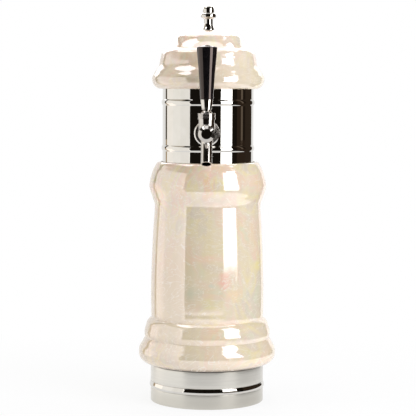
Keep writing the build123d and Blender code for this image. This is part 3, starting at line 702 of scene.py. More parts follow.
@dataclass(frozen=True)
class BrushedSteel:
    """Stainless steel with fine lines that run round the ring, painted shade that darkens the pan towards its
    bottom, and a painted shadow line along the collar's top under the ceramic's overhang.
    """

    dull: Colour = (0.69, 0.67, 0.62)
    bright: Colour = (0.75, 0.73, 0.68)
    # Painted shade: the steel darkens towards the bottom of the pan, between the two heights below, in millimetres
    wear_and_shade: Colour = (0.63, 0.605, 0.545)
    low_shade_from: float = 25.0
    low_shade_to: float = 10.0
    low_shade_most: float = 0.85
    # Painted shadow: a dark line along the collar's top, under the overhang of the ceramic's foot
    joint: Colour = (0.24, 0.20, 0.15)
    gap_shade_from: float = 47.6
    gap_shade_to: float = 49.2
    gap_shade_most: float = 0.9
    lines: Grain = Grain(900.0, 2.0, 0.0, (0.02, 0.02, 1.0))
    patches: Grain = Grain(12.0, 2.0, 0.0, (1.0, 1.0, 4.0))
    line_depth: float = 0.004
    rough: Pair = (0.30, 0.34)

    def material(self) -> bpy.types.Material:
        """Builds the steel."""
        board = Board("brushed_steel")
        lines = board.noise(self.lines)
        steel = board.tones(lines, self.dull, self.bright)
        # Painted shade: darker towards the bottom of the pan
        steel = board.blend(board.height(self.low_shade_from, self.low_shade_to, self.low_shade_most), steel, self.wear_and_shade)
        # Painted shadow line along the collar's top, under the ceramic's overhang
        joint = board.height(self.gap_shade_from, self.gap_shade_to, self.gap_shade_most)
        return board.finish(
            Base_Color=board.blend(joint, steel, self.joint),
            Metallic=1.0,
            Roughness=board.spread(board.noise(self.patches), *self.rough),
            Normal=board.bump(lines, self.line_depth),
            Anisotropic=0.65,
            Anisotropic_Rotation=0.25,
        )


@dataclass(frozen=True)
class GlossBlack:
    """Polished black moulding."""

    colour: Colour = (0.0045, 0.004, 0.0045)
    wear_and_shade: Colour = (0.007, 0.006, 0.0065)
    speck: Grain = Grain(180.0, 3.0)
    ripple: Grain = Grain(45.0, 1.0)
    ripple_depth: float = 0.05
    rough: Pair = (0.05, 0.08)

    def material(self) -> bpy.types.Material:
        """Builds the black."""
        board = Board("gloss_black")
        speck = board.noise(self.speck)
        return board.finish(
            Base_Color=board.tones(speck, self.colour, self.wear_and_shade, LATE_RANGE),
            Roughness=board.spread(speck, *self.rough),
            IOR=1.65,
            Specular_Tint=(1.0, 0.80, 0.73, 1.0),
            Normal=board.bump(board.noise(self.ripple), self.ripple_depth),
        )


@dataclass(frozen=True)
class Grained:
    """A finish whose colour, roughness and relief follow one grain.

    Args:
        name: The material's name.
        grain: The grain.
        dark: Colour in the hollows of the grain.
        light: Colour on its lands.
        rough: Least and most roughness.
        relief: Depth of the grain, in millimetres.
        metallic: 1 for bare metal, or else 0.
        stops: Where in the grain the dark ends and the light begins.
    """

    name: str
    grain: Grain
    dark: Colour
    light: Colour
    rough: Pair
    relief: float
    metallic: float = 0.0
    stops: Pair = NOISE_RANGE

    def material(self) -> bpy.types.Material:
        """Builds the finish."""
        board = Board(self.name)
        grain = board.noise(self.grain)
        least, most = self.rough
        return board.finish(
            Base_Color=board.tones(grain, self.dark, self.light, self.stops),
            Metallic=self.metallic,
            Roughness=least if least == most else board.spread(grain, least, most),
            Normal=board.bump(grain, self.relief),
        )


def finishes() -> dict[Slot, bpy.types.Material]:
    """Builds every finish of the tower.

    Returns:
        The material of each slot.
    """
    tool_lines = Grain(1500.0, 3.0, 0.0, (0.2, 0.2, 1.0))
    dust, cells, braid = Grain(300.0, 4.0), Grain(900.0, 5.0), Grain(260.0, 5.0)
    chosen = {
        Slot.PEARL: PearlGlaze(),
        Slot.CHROME: PolishedChrome(),
        Slot.BRUSHED: BrushedSteel(),
        Slot.BLACK: GlossBlack(),
        Slot.RUBBER: Grained(
            "moulded_rubber", dust, (0.012, 0.012, 0.012), (0.03, 0.03, 0.03), (0.55, 0.75), 0.05, 0.0, LATE_RANGE
        ),
        Slot.BRASS: Grained(
            "turned_brass", tool_lines, (0.50, 0.33, 0.12), (0.78, 0.57, 0.27), (0.22, 0.34), 0.01, 1.0
        ),
        Slot.FOAM: Grained("rigid_foam", cells, (0.62, 0.55, 0.36), (0.84, 0.78, 0.58), (0.85, 0.85), 0.15),
        Slot.VINYL: Grained("beer_line", braid, (0.70, 0.73, 0.72), (0.86, 0.88, 0.87), (0.28, 0.28), 0.15),
        Slot.STEEL: Grained(
            "plain_steel", tool_lines, (0.38, 0.38, 0.38), (0.62, 0.62, 0.61), (0.28, 0.40), 0.01, 1.0
        ),
    }
    return {slot: finish.material() for slot, finish in chosen.items()}


@dataclass
class SubAssembly:
    """A group of pieces on one body, with what is needed to add them.

    Args:
        materials: The material of each slot.
    """

    materials: dict[Slot, bpy.types.Material]
    made: list[str] = field(default_factory=list)

    def add(self, piece: bpy.types.Object, node: str, body: str, slot: Slot) -> bpy.types.Object:
        """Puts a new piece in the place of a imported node.

        Args:
            piece: The piece, in place.
            node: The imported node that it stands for.
            body: The body that it rides on.
            slot: The slot of its finish.

        Returns:
            The piece.
        """
        piece.data.materials.clear()
        piece.data.materials.append(self.materials[slot])
        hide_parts(node)
        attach(piece, body)
        self.made.append(piece.name)
        LOG.info("made %s for %s on %s", piece.name, node, body)
        return piece


@dataclass
class Base(SubAssembly):
    """Pan, polished trim ring and collar of the base."""

    radius: float = 74.8
    wall: float = 3.0
    sleeve_wall: float = 2.5
    floor: float = 4.0
    gasket: float = 2.0
    opening: float = 26.0
    flange: float = 3.0
    seat_width: float = 8.3
    slip: float = 0.1
    edge: float = 0.5
    hole_count: int = 4
    bolt_circle: float = 38.0
    bolt_hole: float = 3.4
    bolt_start: float = 45.0
    screw_circle: float = 50.7
    screw_hole: float = 2.5
    trim_belly: float = 2.3
    trim_round: float = 1.5
    trim_lean: float = 0.9

    def build(self) -> None:
        """Builds the three rings."""
        low, high = heights(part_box("base_trim_ring"))
        self.build_pan(low)
        self.build_trim(low, high)
        self.build_collar(high)

    def build_pan(self, trim_low: float) -> None:
        """Builds the pan with its floor and sleeve, and drills its bolt and screw holes."""
        sleeve = self.radius - self.wall
        shelf = heights(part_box("base_upper_collar"))[1] - self.flange
        pan = Bench.turn(
            "brushed_pan",
            [
                corner(self.opening, self.gasket),
                corner(sleeve, self.gasket),
                corner(sleeve, 0),
                *band(self.radius, self.radius, 0, trim_low, self.edge),
                corner(sleeve, trim_low),
                corner(sleeve, shelf),
                corner(sleeve - self.sleeve_wall, shelf),
                corner(sleeve - self.sleeve_wall, self.gasket + self.floor),
                corner(self.opening, self.gasket + self.floor),
            ],
            resolution=4,
        )
        bolts = (self.bolt_circle, self.bolt_start, self.bolt_hole)
        screws = (self.screw_circle, 0.0, self.screw_hole)
        for circle, start, radius in (bolts, screws):
            for step in range(self.hole_count):
                angle = math.radians(start + 360 / self.hole_count * step)
                centre = (circle * MM * math.cos(angle), circle * MM * math.sin(angle), self.floor * MM)
                Bench.drill(pan, centre, radius, 3 * self.floor)
        Bench.shade(pan)
        self.add(pan, "base_pan", "tower", Slot.BRUSHED)

    def build_trim(self, low: float, high: float) -> None:
        """Builds the polished bead between the brushed bands."""
        inner = self.radius - self.wall + self.slip
        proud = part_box("base_trim_ring")[1].x / MM
        trim = Bench.turn(
            "polished_trim_ring",
            [
                corner(inner, low),
                corner(self.radius, low, leave=(1, 0.3)),
                smooth(proud, low + self.trim_belly, (0, 1)),
                smooth(proud - self.trim_lean, high - self.trim_round, (-0.35, 1)),
                corner(self.radius - self.slip, high, arrive=(-1, 0.3)),
                corner(inner, high),
            ],
            resolution=12,
        )
        self.add(trim, "base_trim_ring", "tower", Slot.CHROME)

    def build_collar(self, low: float) -> None:
        """Builds the upper brushed band with the seat for the ceramic."""
        inner = self.radius - self.wall + self.slip
        top = heights(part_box("base_upper_collar"))[1]
        collar = Bench.turn(
            "brushed_collar",
            [
                corner(inner, low),
                *band(self.radius, self.radius, low, top, self.edge),
                corner(self.radius - self.seat_width, top),
                corner(self.radius - self.seat_width, top - self.flange),
                corner(inner, top - self.flange),
            ],
            resolution=4,
        )
        self.add(collar, "base_upper_collar", "tower", Slot.BRUSHED)


@dataclass
class CeramicBody(SubAssembly):
    """The glazed body, from its swelling foot to the mouth round the column.

    A size with out in its name is how far that stage stands out from the column's radius. A pair is a step out and
    up from the stage that its name starts with, and a pair of pairs holds the directions into and out of an edge.
    The pair foot_wall counts wall thicknesses.
    """

    column: float = 60.0
    wall: float = 7.5
    bore_gap: float = 1.8
    seat: float = 66.8
    foot_out: float = 30.8
    foot_round: float = 15.2
    foot_wall: Pair = (1.4, 1.2)
    bulge_height: float = 14.2
    bulge_fall: Pair = (-0.8, 6.8)
    crease_out: float = 22.5
    crease_height: float = 34.6
    crease_foot: Pair = (3.5, -6.3)
    crease_ways: tuple[Pair, Pair] = ((-0.75, 1), (0.45, 1))
    ring_out: float = 23.4
    ring_belly_height: float = 7.1
    ring_fall: Pair = (-2.2, 8.9)
    ring_top_out: float = 14.0
    ring_height: float = 26.2
    ring_shoulder: Pair = (6.1, -6.3)
    ring_ways: tuple[Pair, Pair] = ((-1, 0.6), (0.2, 1))
    wall_out: float = 14.6
    wall_foot_height: float = 13.4
    wall_middle_out: float = 13.6
    wall_middle_height: float = 83.0
    neck_out: float = 10.1
    neck_drop: float = 57.5
    neck_foot: Pair = (1.7, -29.0)
    shoulder_out: float = 17.2
    shoulder_drop: float = 31.5
    shoulder_swell: Pair = (-0.2, -1.4)
    shoulder_fall: Pair = (-2.3, 12.5)
    shoulder_end: Pair = (-6.3, 23.8)
    mouth_land: float = 2.2
    mouth_depth: float = 11.5

    def build(self) -> None:
        """Builds the body."""
        low, high = heights(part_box("ceramic_body"))
        column, wall, bore = self.column, self.wall, self.column + self.bore_gap
        belly = (column + self.foot_out, low + self.bulge_height)
        crease = (column + self.crease_out, low + self.crease_height)
        ring_belly = (column + self.ring_out, crease[1] + self.ring_belly_height)
        ring_top = (column + self.ring_top_out, crease[1] + self.ring_height)
        middle = (column + self.wall_middle_out, ring_top[1] + self.wall_middle_height)
        neck = (column + self.neck_out, high - self.neck_drop)
        shoulder = (column + self.shoulder_out, high - self.shoulder_drop)
        body = Bench.turn(
            "pearl_body",
            [
                corner(belly[0] - self.foot_round, low, leave=(1, 0)),
                smooth(*belly, (0, 1)),
                beside(belly, self.bulge_fall),
                beside(crease, self.crease_foot),
                corner(*crease, *self.crease_ways),
                smooth(*ring_belly, (0, 1)),
                beside(ring_belly, self.ring_fall),
                beside(ring_top, self.ring_shoulder),
                corner(*ring_top, *self.ring_ways),
                smooth(column + self.wall_out, ring_top[1] + self.wall_foot_height),
                smooth(*middle),
                beside(neck, self.neck_foot),
                smooth(*neck, (0, 1)),
                beside(halfway(neck, shoulder), self.shoulder_swell),
                smooth(*shoulder, (0, 1)),
                beside(shoulder, self.shoulder_fall),
                beside(shoulder, self.shoulder_end),
                corner(bore + self.mouth_land, high, arrive=(-1, 0)),
                corner(bore, high),
                corner(bore, high - self.mouth_depth),
                corner(shoulder[0] - wall, shoulder[1] + wall / 2),
                corner(shoulder[0] - wall, shoulder[1] - wall / 2),
                corner(neck[0] - wall, neck[1]),
                corner(middle[0] - wall, middle[1]),
                corner(ring_top[0] - wall, ring_top[1] - wall / 2),
                corner(crease[0] - wall, crease[1]),
                corner(belly[0] - wall, belly[1] + wall / 2),
                corner(belly[0] - self.foot_wall[0] * wall, low + self.foot_wall[1] * wall),
                corner(self.seat, low + wall),
                corner(self.seat, low),
            ],
            **GLAZED,
        )
        self.add(body, "ceramic_body", "tower", Slot.PEARL)


@dataclass
class Column(SubAssembly):
    """The chromed tube with its two rolled beads."""

    radius: float = 60.0
    wall: float = 1.5
    bead_height: float = 8.0
    bead_proud: float = 1.3
    bead_rise: float = 0.25
    bead_lean: float = 0.62
    lower_inset: float = 18.3
    upper_inset: float = 17.5
    fold: float = 0.7
    steps: int = 240
    shank_hole: float = 11.1
    shank_sides: int = 64
    crease: float = 50.0

    def face(self, radius: float, low: float, high: float, way: int) -> list[Knot]:
        """Returns one face of the tube, with its beads.

        Args:
            radius: The face's radius.
            low: Its foot.
            high: Its top.
            way: 1 to run up the face, or -1 to run down it.

        Returns:
            The face's knots.
        """
        half = self.bead_height / 2
        knots = [corner(radius, low)]
        lower = heights(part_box("ceramic_body"))[1] + self.lower_inset
        upper = heights(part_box("ceramic_lid"))[0] - self.upper_inset
        for bead in (lower, upper):
            knots += [
                smooth(radius, bead - half - self.fold, (0, way)),
                smooth(radius + self.bead_rise, bead - half + self.fold / 2, (way * self.bead_lean, way)),
                smooth(radius + self.bead_proud, bead, (0, way)),
                smooth(radius + self.bead_rise, bead + half - self.fold / 2, (-way * self.bead_lean, way)),
                smooth(radius, bead + half + self.fold, (0, way)),
            ]
        knots.append(corner(radius, high))
        return knots[::way]

    def build(self) -> None:
        """Builds the tube and cuts the shank's hole."""
        low, high = heights(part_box("column_tube"))
        outside = self.face(self.radius, low, high, 1)
        inside = self.face(self.radius - self.wall, low, high, -1)
        tube = Bench.turn("chromed_column", outside + inside, steps=self.steps, crease=self.crease)
        centre = (0, -self.radius * MM, sum(heights(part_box("shank"))) / 2 * MM)
        Bench.drill(tube, centre, self.shank_hole, self.radius, self.shank_sides, 90.0)
        Bench.shade(tube, self.crease)
        self.add(tube, "column_tube", "tower", Slot.CHROME)


@dataclass
class Lid(SubAssembly):
    """The glazed lid. Its pairs are steps and directions, as in the body."""

    column: float = 60.0
    bore_gap: float = 1.0
    foot_land: float = 2.0
    overlap: float = 6.4
    brim_out: float = 14.0
    brim_height: float = 13.4
    brim_swell: Pair = (-3.2, -9.3)
    brim_fall: Pair = (-4.0, 9.0)
    tier_out: float = 4.2
    tier_height: float = 32.9
    tier_way: Pair = (-0.1, 1)
    tier_fall: Pair = (-1.6, 8.6)
    tier_inset: float = 3.4
    tier_top_height: float = 51.0
    tier_edge: Pair = (3.6, -2.6)
    tier_ways: tuple[Pair, Pair] = ((-1, 0.1), (-1, 0.3))
    dome_radius: float = 43.6
    dome_height: float = 67.0
    dome_foot: Pair = (-0.4, -2.0)
    dome_way: Pair = (-0.35, 1)
    dome_fall: Pair = (-6.4, 5.4)
    wall: float = 7.2
    dome_inside: tuple[Pair, Pair] = ((-9.6, -2.0), (-5.6, -6.0))
    tier_inside: Pair = (-8.6, -4.6)
    tier_ledge: Pair = (-3.0, -7.6)
    tier_depth: float = 14.0
    hole: float = 4.6
    seat: float = 8.3

    def build(self) -> None:
        """Builds the lid."""
        low, high = heights(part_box("ceramic_lid"))
        bore = self.column + self.bore_gap
        brim = (self.column + self.brim_out, low + self.brim_height)
        tier_foot = (self.column + self.tier_out, low + self.tier_height)
        tier_top = (self.column - self.tier_inset, low + self.tier_top_height)
        dome = (self.dome_radius, low + self.dome_height)
        inner = tier_foot[0] - self.wall
        lid = Bench.turn(
            "pearl_lid",
            [
                corner(bore + self.foot_land, low, leave=(1, 0)),
                beside(brim, self.brim_swell),
                smooth(*brim, (0, 1)),
                beside(brim, self.brim_fall),
                smooth(*tier_foot, self.tier_way),
                beside(tier_foot, self.tier_fall),
                beside(tier_top, self.tier_edge),
                corner(*tier_top, *self.tier_ways),
                beside(halfway(tier_top, dome), self.dome_foot),
                smooth(*dome, self.dome_way),
                beside(dome, self.dome_fall),
                corner(self.seat, high, arrive=(-1, 0)),
                corner(self.hole, high),
                corner(self.hole, high - self.wall),
                *(corner(dome[0] + out, dome[1] + up) for out, up in self.dome_inside),
                corner(tier_top[0] + self.tier_inside[0], tier_top[1] + self.tier_inside[1]),
                corner(inner + self.tier_ledge[0], tier_top[1] + self.tier_ledge[1]),
                corner(inner, tier_top[1] - self.tier_depth),
                corner(inner, low + self.overlap),
                corner(bore, low + self.overlap),
                corner(bore, low),
            ],
            **GLAZED,
        )
        self.add(lid, "ceramic_lid", "lid", Slot.PEARL)


@dataclass
class Finial(SubAssembly):
    """The chromed knob that clamps the lid."""

    bore: float = 4.1
    engage: float = 12.0
    base_radius: float = 8.3
    base_edge: float = 0.8
    base_way: Pair = (0.4, -1)
    neck_radius: float = 5.8
    neck_height: float = 14.0
    neck_blend: float = 3.0
    neck_flare: Pair = (0.8, 4.6)
    disc_radius: float = 10.2
    disc_height: float = 5.8
    disc_rise: float = 1.7
    disc_round: float = 1.6
    knob_radius: float = 7.5
    knob_share: float = 0.72
    knob_drop: float = 1.6
    knob_flat: float = 1.5
    groove: float = 0.6
    groove_low: float = 0.5
    groove_high: float = 1.1
    clear: float = 0.03

    def build(self) -> None:
        """Builds the finial, its foot just clear of the washer."""
        low, high = heights(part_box("finial"))
        low += self.clear
        disc_low = low + self.neck_height + self.disc_rise
        disc_high = disc_low + self.disc_height
        knob, disc = self.knob_radius, self.disc_radius - self.disc_round
        finial = Bench.turn(
            "chromed_finial",
            [
                corner(0, high, leave=(1, 0)),
                smooth(knob * self.knob_share, high - self.knob_drop),
                smooth(knob, high - knob + self.knob_flat, (0, -1)),
                smooth(knob, disc_high + self.groove_high, (0, -1)),
                corner(knob - self.groove, disc_high + self.groove_low),
                corner(knob - self.groove, disc_high),
                smooth(disc, disc_high, (1, 0)),
                smooth(self.disc_radius, (disc_low + disc_high) / 2, (0, -1)),
                smooth(disc, disc_low, (-1, 0)),
                corner(self.neck_radius, low + self.neck_height),
                smooth(self.neck_radius, low + self.neck_height - self.neck_blend, (0, -1)),
                smooth(self.neck_radius + self.neck_flare[0], low + self.neck_flare[1]),
                corner(self.base_radius, low + self.base_edge, arrive=self.base_way),
                corner(self.base_radius, low),
                corner(self.bore, low),
                corner(self.bore, low + self.engage),
                corner(0, low + self.engage),
            ],
            closed=False,
            steps=SMALL_STEPS,
        )
        self.add(finial, "finial", "finial", Slot.CHROME)


@dataclass
class Tap(SubAssembly):
    """The tap's black handle and the chromed ferrule under it."""

    handle_foot: float = 8.3
    handle_foot_way: Pair = (-0.03, -1)
    handle_middle: float = 10.4
    handle_top: float = 13.0
    handle_dome: float = 2.4
    dome_edge: Pair = (-1.3, 0.25)
    dome_edge_way: Pair = (1, -0.25)
    top_round: float = 1.1
    top_way: Pair = (-0.05, -1)
    insert: float = 6.25
    insert_height: float = 16.0
    stud: float = 4.75
    ferrule_foot: float = 6.5
    ferrule_top: float = 8.0
    ferrule_lean: float = 0.1
    edge: float = 0.3

    def build(self) -> None:
        """Builds the handle and its ferrule."""
        low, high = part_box("tap_handle")
        upright = Lathe(centre=((low.x + high.x) / 2, (low.y + high.y) / 2, 0.0))
        self.build_handle(upright)
        self.build_ferrule(upright)

    def build_handle(self, upright: Lathe) -> None:
        """Builds the black handle."""
        foot, top = heights(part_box("tap_handle"))
        edge = top - self.handle_dome
        handle = Bench.turn(
            "black_handle",
            [
                corner(0, top, leave=(1, 0)),
                beside((self.handle_top, edge), self.dome_edge, self.dome_edge_way),
                smooth(self.handle_top, edge - self.top_round, self.top_way),
                smooth(self.handle_middle, (foot + edge) / 2),
                smooth(self.handle_foot, foot + self.edge, self.handle_foot_way),
                corner(self.handle_foot - self.edge, foot, arrive=(-1, 0)),
                corner(self.insert, foot),
                corner(self.insert, foot + self.insert_height),
                corner(0, foot + self.insert_height),
            ],
            lathe=upright,
            closed=False,
            steps=SMALL_STEPS,
            resolution=12,
        )
        self.add(handle, "tap_handle", "handle", Slot.BLACK)

    def build_ferrule(self, upright: Lathe) -> None:
        """Builds the chromed ferrule under the handle."""
        low, high = heights(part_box("handle_ferrule"))
        face = band(self.ferrule_foot, self.ferrule_top, low, high, self.edge, self.ferrule_lean)
        knots = [corner(self.stud, low), *face, corner(self.stud, high)]
        ferrule = Bench.turn("chromed_ferrule", knots, lathe=upright, steps=SMALL_STEPS)
        self.add(ferrule, "handle_ferrule", "handle", Slot.CHROME)


@dataclass
class Carried:
    """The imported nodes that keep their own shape."""

    materials: dict[Slot, bpy.types.Material]
    cast: tuple[str, ...] = ("faucet_body", "bonnet", "lever", "lever_collar")
    cast_chrome: PolishedChrome = PolishedChrome("cast_chrome", (0.56, 0.53, 0.50), (0.62, 0.59, 0.56), 0.08, 0.14)
    turned: tuple[str, ...] = ("shank_flange", "coupling_nut")
    turned_chrome: PolishedChrome = PolishedChrome(
        "turned_chrome", (0.70, 0.67, 0.64), (0.76, 0.73, 0.70), 0.24, 0.30
    )

    def dress(self, frame: dict) -> None:
        """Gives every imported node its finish, with softer chromes on the tap's cast and turned parts.

        Args:
            frame: What the frame's loading returned.
        """
        slots = {part["node"]: part["material_slot"] for part in frame["record"]["subparts"]}
        special = dict.fromkeys(self.cast, self.cast_chrome.material())
        special |= dict.fromkeys(self.turned, self.turned_chrome.material())
        for name, node in frame["nodes"].items():
            node.data.materials.clear()
            node.data.materials.append(special.get(name) or self.materials[Slot(slots[name])])


@dataclass(frozen=True)
class Card:
    """An upright studio card, curved round the tower, that only reflections see.

    Args:
        name: The card's name.
        start: Where it starts, in degrees to the right of the camera.
        end: Where it ends.
        low: Height of its lower edge, in metres.
        high: Height of its upper edge.
        glow: How bright each colour of it is.
    """

    name: str
    start: float
    end: float
    low: float
    high: float
    glow: Colour


@dataclass(frozen=True)
class Lamp:
    """A soft lamp that reflections don't see.

    Args:
        name: The lamp's name.
        degrees: Where it hangs, in degrees to the right of the camera.
        reach: How far out it hangs, in metres.
        height: How high it hangs, in metres.
        size: Its width, in metres.
        power: Its power, in watts.
        tint: Its colour.
    """

    name: str
    degrees: float
    reach: float
    height: float
    size: float
    power: float
    tint: Colour = WHITE


# How bright the studio's cloths, light box and panels are in reflections
FRONT_CLOTH: Colour = (0.010, 0.008, 0.006)
SIDE_CLOTH: Colour = (0.012, 0.009, 0.006)
BROWN_CLOTH: Colour = (0.034, 0.022, 0.014)
CORNER_CLOTH: Colour = (0.03, 0.027, 0.022)
FOOT_CLOTH: Colour = (0.25, 0.23, 0.20)
BOX: Colour = (4.5, 4.5, 4.5)
PANEL: Colour = (1.12, 1.10, 1.06)


@dataclass
class Studio:
    """Floor, world, lamps, cards and camera."""

    azimuth: float = 1.0
    distance: float = 2.03
    eye: float = 0.4104
    aim: float = 0.2554
    aside: float = 0.0005
    roll: float = 0.27
    lens: float = 133.04
    film: float = 36.0
    sight: float = 50.0
    floor_size: float = 12.0
    floor_grain: Grain = Grain(3.0, 2.0)
    floor_dark: Colour = (0.93, 0.93, 0.93)
    floor_light: Colour = (0.95, 0.95, 0.95)
    floor_glow: float = 0.87
    floor_near: float = 0.10
    floor_far: float = 0.60
    ambient: float = 0.27
    card_radius: float = 0.55
    card_step: float = 3.0
    card_least: int = 4
    cards: tuple[Card, ...] = (
        Card("near_flag", -43.7, 31.0, 0.038, 1.7, FRONT_CLOTH),
        Card("near_flag_upper", -50.0, -43.7, 1.0, 1.7, FRONT_CLOTH),
        Card("strip_box", 31.0, 59.4, 0.165, 0.68, BOX),
        Card("strip_box_head", 43.0, 66.0, 0.68, 0.77, BOX),
        Card("strip_edge", 31.0, 47.0, 0.15, 0.165, (0.9, 0.9, 0.9)),
        Card("strip_edge_side", 47.0, 59.4, 0.15, 0.165, (1.7, 1.7, 1.7)),
        Card("strip_foot", 31.0, 56.3, 0.0, 0.15, FOOT_CLOTH),
        Card("strip_foot_side", 56.3, 59.4, 0.0, 0.128, FOOT_CLOTH),
        Card("strip_hook", 56.3, 59.4, 0.128, 0.15, (1.6, 1.5, 1.4)),
        Card("strip_corner", 31.0, 43.0, 0.68, 0.77, CORNER_CLOTH),
        Card("strip_head", 31.0, 61.0, 0.77, 1.7, (0.08, 0.07, 0.06)),
        Card("strip_head_side", 61.0, 66.0, 0.77, 0.84, CORNER_CLOTH),
        Card("glint", 61.0, 70.0, 0.84, 1.02, (3.2, 3.2, 3.2)),
        Card("right_flag_near", 59.4, 66.0, 0.0, 0.68, SIDE_CLOTH),
        Card("right_flag_middle", 66.0, 74.0, 0.0, 0.84, SIDE_CLOTH),
        Card("right_flag_low", 74.0, 103.0, 0.0, 0.33, BROWN_CLOTH),
        Card("right_flag_side", 74.0, 87.0, 0.33, 1.1, BROWN_CLOTH),
        Card("right_glow", 87.0, 93.5, 0.33, 1.1, (0.15, 0.115, 0.085)),
        Card("right_gap", 93.5, 103.0, 0.33, 1.1, (0.018, 0.012, 0.008)),
        Card("right_flag", 103.0, 136.8, 0.0, 1.1, (0.036, 0.025, 0.017)),
        Card("right_flag_upper", 61.0, 100.0, 1.1, 1.7, BROWN_CLOTH),
        Card("right_header", 100.0, 136.8, 1.1, 1.7, (4.0, 4.0, 4.0)),
        Card("left_panel", -70.0, -44.2, 0.33, 0.62, PANEL),
        Card("left_panel_low", -70.0, -45.6, 0.0, 0.33, PANEL),
        Card("left_panel_rim", -45.6, -44.2, 0.0, 0.33, (1.7, 1.68, 1.62)),
        Card("left_panel_middle", -95.0, -70.0, 0.0, 0.62, (1.17, 1.15, 1.10)),
        Card("left_panel_far_low", -121.0, -95.0, 0.0, 0.29, (1.55, 1.45, 1.35)),
        Card("left_panel_far", -121.0, -95.0, 0.29, 0.62, (1.22, 1.18, 1.12)),
        Card("left_dark", -70.0, -43.7, 0.62, 1.0, CORNER_CLOTH),
        Card("left_dim", -121.0, -70.0, 0.62, 1.0, (0.55, 0.50, 0.42)),
        Card("left_header", -121.0, -50.0, 1.0, 1.7, (3.0, 3.0, 3.0)),
        Card("left_flag_low", -128.6, -121.0, 0.0, 0.33, (0.50, 0.38, 0.24)),
        Card("left_flag", -129.6, -121.0, 0.33, 1.7, (0.10, 0.08, 0.06)),
        Card("rear_card", 150.0, 226.0, 0.55, 2.0, (3.5, 3.5, 3.5)),
        Card("rear_card_side", 136.8, 150.0, 0.55, 2.0, (1.5, 1.5, 1.5)),
    )
    overhead_height: float = 1.7
    overhead_radius: float = 0.54
    overhead_sides: int = 48
    overhead_glow: Colour = (1.3, 1.3, 1.3)
    lamp_aim: float = 0.25
    lamps: tuple[Lamp, ...] = (
        Lamp("key_softbox", 50.0, 2.0, 1.0, 1.2, 29.5, (1.0, 1.03, 1.14)),
        Lamp("fill_softbox", -72.0, 2.0, 0.9, 1.4, 9.5, (1.0, 0.99, 0.95)),
        Lamp("top_softbox", 0.0, 0.05, 2.4, 1.2, 15.0),
        Lamp("back_softbox", 175.0, 2.0, 1.0, 1.4, 14.0),
    )

    def build(self) -> None:
        """Sets up the whole studio."""
        self.build_camera()
        self.build_floor()
        self.build_world()
        for lamp in self.lamps:
            self.build_lamp(lamp)
        for card in self.cards:
            self.build_card(card)
        self.build_overhead()
        bpy.context.scene.view_settings.view_transform = "Standard"

    def facing(self, degrees: float, radius: float, height: float) -> Vector:
        """Returns a point at an angle to the right of the camera, seen from the tower."""
        angle = math.radians(self.azimuth + degrees)
        return Vector((radius * math.sin(angle), -radius * math.cos(angle), height))

    @staticmethod
    def hang(thing: bpy.types.Object, place: Vector, target: Vector, roll: float = 0.0) -> None:
        """Puts a camera or a lamp at a place, turned to a target and rolled by degrees."""
        bpy.context.scene.collection.objects.link(thing)
        thing.location = place
        thing.rotation_mode = "QUATERNION"
        turned = Quaternion((0, 0, 1), math.radians(roll))
        thing.rotation_quaternion = (target - place).to_track_quat("-Z", "Y") @ turned

    def build_camera(self) -> None:
        """Places the camera at the photograph's angle."""
        data = bpy.data.cameras.new("photo_camera")
        data.lens = self.lens
        data.sensor_width = self.film
        data.clip_end = self.sight
        camera = bpy.data.objects.new("photo_camera", data)
        target = self.facing(90.0, self.aside, self.aim)
        self.hang(camera, self.facing(0.0, self.distance, self.eye), target, self.roll)
        bpy.context.scene.camera = camera

    def build_lamp(self, lamp: Lamp) -> None:
        """Hangs one soft lamp, turned to the tower."""
        data = bpy.data.lights.new(lamp.name, "AREA")
        data.size = lamp.size
        data.energy = lamp.power
        data.color = lamp.tint
        hung = bpy.data.objects.new(lamp.name, data)
        self.hang(hung, self.facing(lamp.degrees, lamp.reach, lamp.height), Vector((0, 0, self.lamp_aim)))
        hung.visible_glossy = False

    def build_floor(self) -> None:
        """Lays the pale floor, white to the camera but for the tower's shadow."""
        Bench.clear()
        bpy.ops.mesh.primitive_plane_add(size=self.floor_size, location=(0, 0, 0))
        floor = bpy.context.object
        floor.name = "pale_floor"
        board = Board("pale_floor")
        ground = board.tones(board.noise(self.floor_grain), self.floor_dark, self.floor_light)
        board.finish(Base_Color=ground, Roughness=0.9, Specular_IOR_Level=0.0)
        white = board.add("ShaderNodeEmission", Color=(*WHITE, 1.0), Strength=1.0)
        reach = board.feed("ShaderNodeVectorMath", board.place(), operation="LENGTH")
        glow = board.remap(reach.outputs["Value"], self.floor_near, self.floor_far, self.floor_glow, 1.0)
        share = board.feed("ShaderNodeMath", board.seen_directly(), glow, operation="MULTIPLY")
        mix = board.feed("ShaderNodeMixShader", share.outputs[0], board.shader.outputs[0], white.outputs[0])
        board.show(mix)
        floor.data.materials.append(board.material)

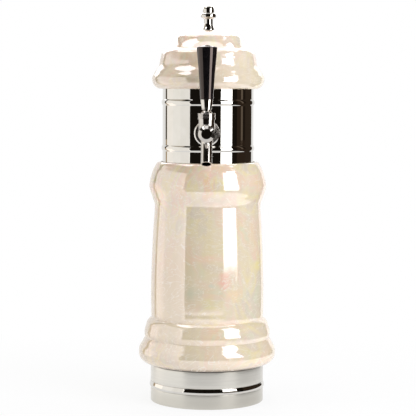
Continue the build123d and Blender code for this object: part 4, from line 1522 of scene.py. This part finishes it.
    def build_world(self) -> None:
        """Fills the room with plain white light."""
        world = bpy.data.worlds.new("white_room")
        bpy.context.scene.world = world
        world.use_nodes = True
        room = Tree(world.node_tree)
        dim = world.node_tree.nodes["Background"]
        room.put(dim, "Color", (*WHITE, 1.0))
        room.put(dim, "Strength", self.ambient)
        seen = room.add("ShaderNodeBackground", Color=(*WHITE, 1.0), Strength=1.0)
        mix = room.feed("ShaderNodeMixShader", room.seen_directly(), dim.outputs[0], seen.outputs[0])
        room.show(mix, "World Output")

    def build_card(self, card: Card) -> None:
        """Stands one curved card round the tower."""
        width = card.end - card.start
        sheet = Bench.turn(
            card.name,
            [corner(self.card_radius / MM, card.low / MM), corner(self.card_radius / MM, card.high / MM)],
            lathe=Lathe(outward=tuple(self.facing(card.end, 1.0, 0.0))),
            closed=False,
            steps=max(self.card_least, int(width / self.card_step)),
            resolution=1,
            angle=width,
        )
        self.light_card(sheet, card.glow)

    def build_overhead(self) -> None:
        """Hangs the round bright card over the tower."""
        Bench.clear()
        bpy.ops.mesh.primitive_circle_add(
            vertices=self.overhead_sides,
            radius=self.overhead_radius,
            fill_type="NGON",
            location=(0, 0, self.overhead_height),
        )
        sheet = bpy.context.object
        sheet.name = "overhead_card"
        self.light_card(sheet, self.overhead_glow)

    @staticmethod
    def light_card(sheet: bpy.types.Object, glow: Colour) -> None:
        """Makes a card glow, seen by reflections only."""
        board = Board(sheet.name)
        board.tree.nodes.remove(board.shader)
        board.show(board.add("ShaderNodeEmission", Color=(*glow, 1.0), Strength=1.0))
        sheet.data.materials.clear()
        sheet.data.materials.append(board.material)
        sheet.visible_camera = False
        sheet.visible_diffuse = False
        sheet.visible_shadow = False
        sheet.visible_transmission = False


def main() -> None:
    """Builds the dressed tower in order and reports each piece."""
    logging.basicConfig(level=logging.INFO, format="%(message)s")
    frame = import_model()
    materials = finishes()
    Carried(materials).dress(frame)
    for assembly in (
        Base(materials),
        CeramicBody(materials),
        Column(materials),
        Lid(materials),
        Finial(materials),
        Tap(materials),
    ):
        assembly.build()
        LOG.info("%s: %d pieces", type(assembly).__name__, len(assembly.made))
    Studio().build()


if __name__ == "__main__":
    main()
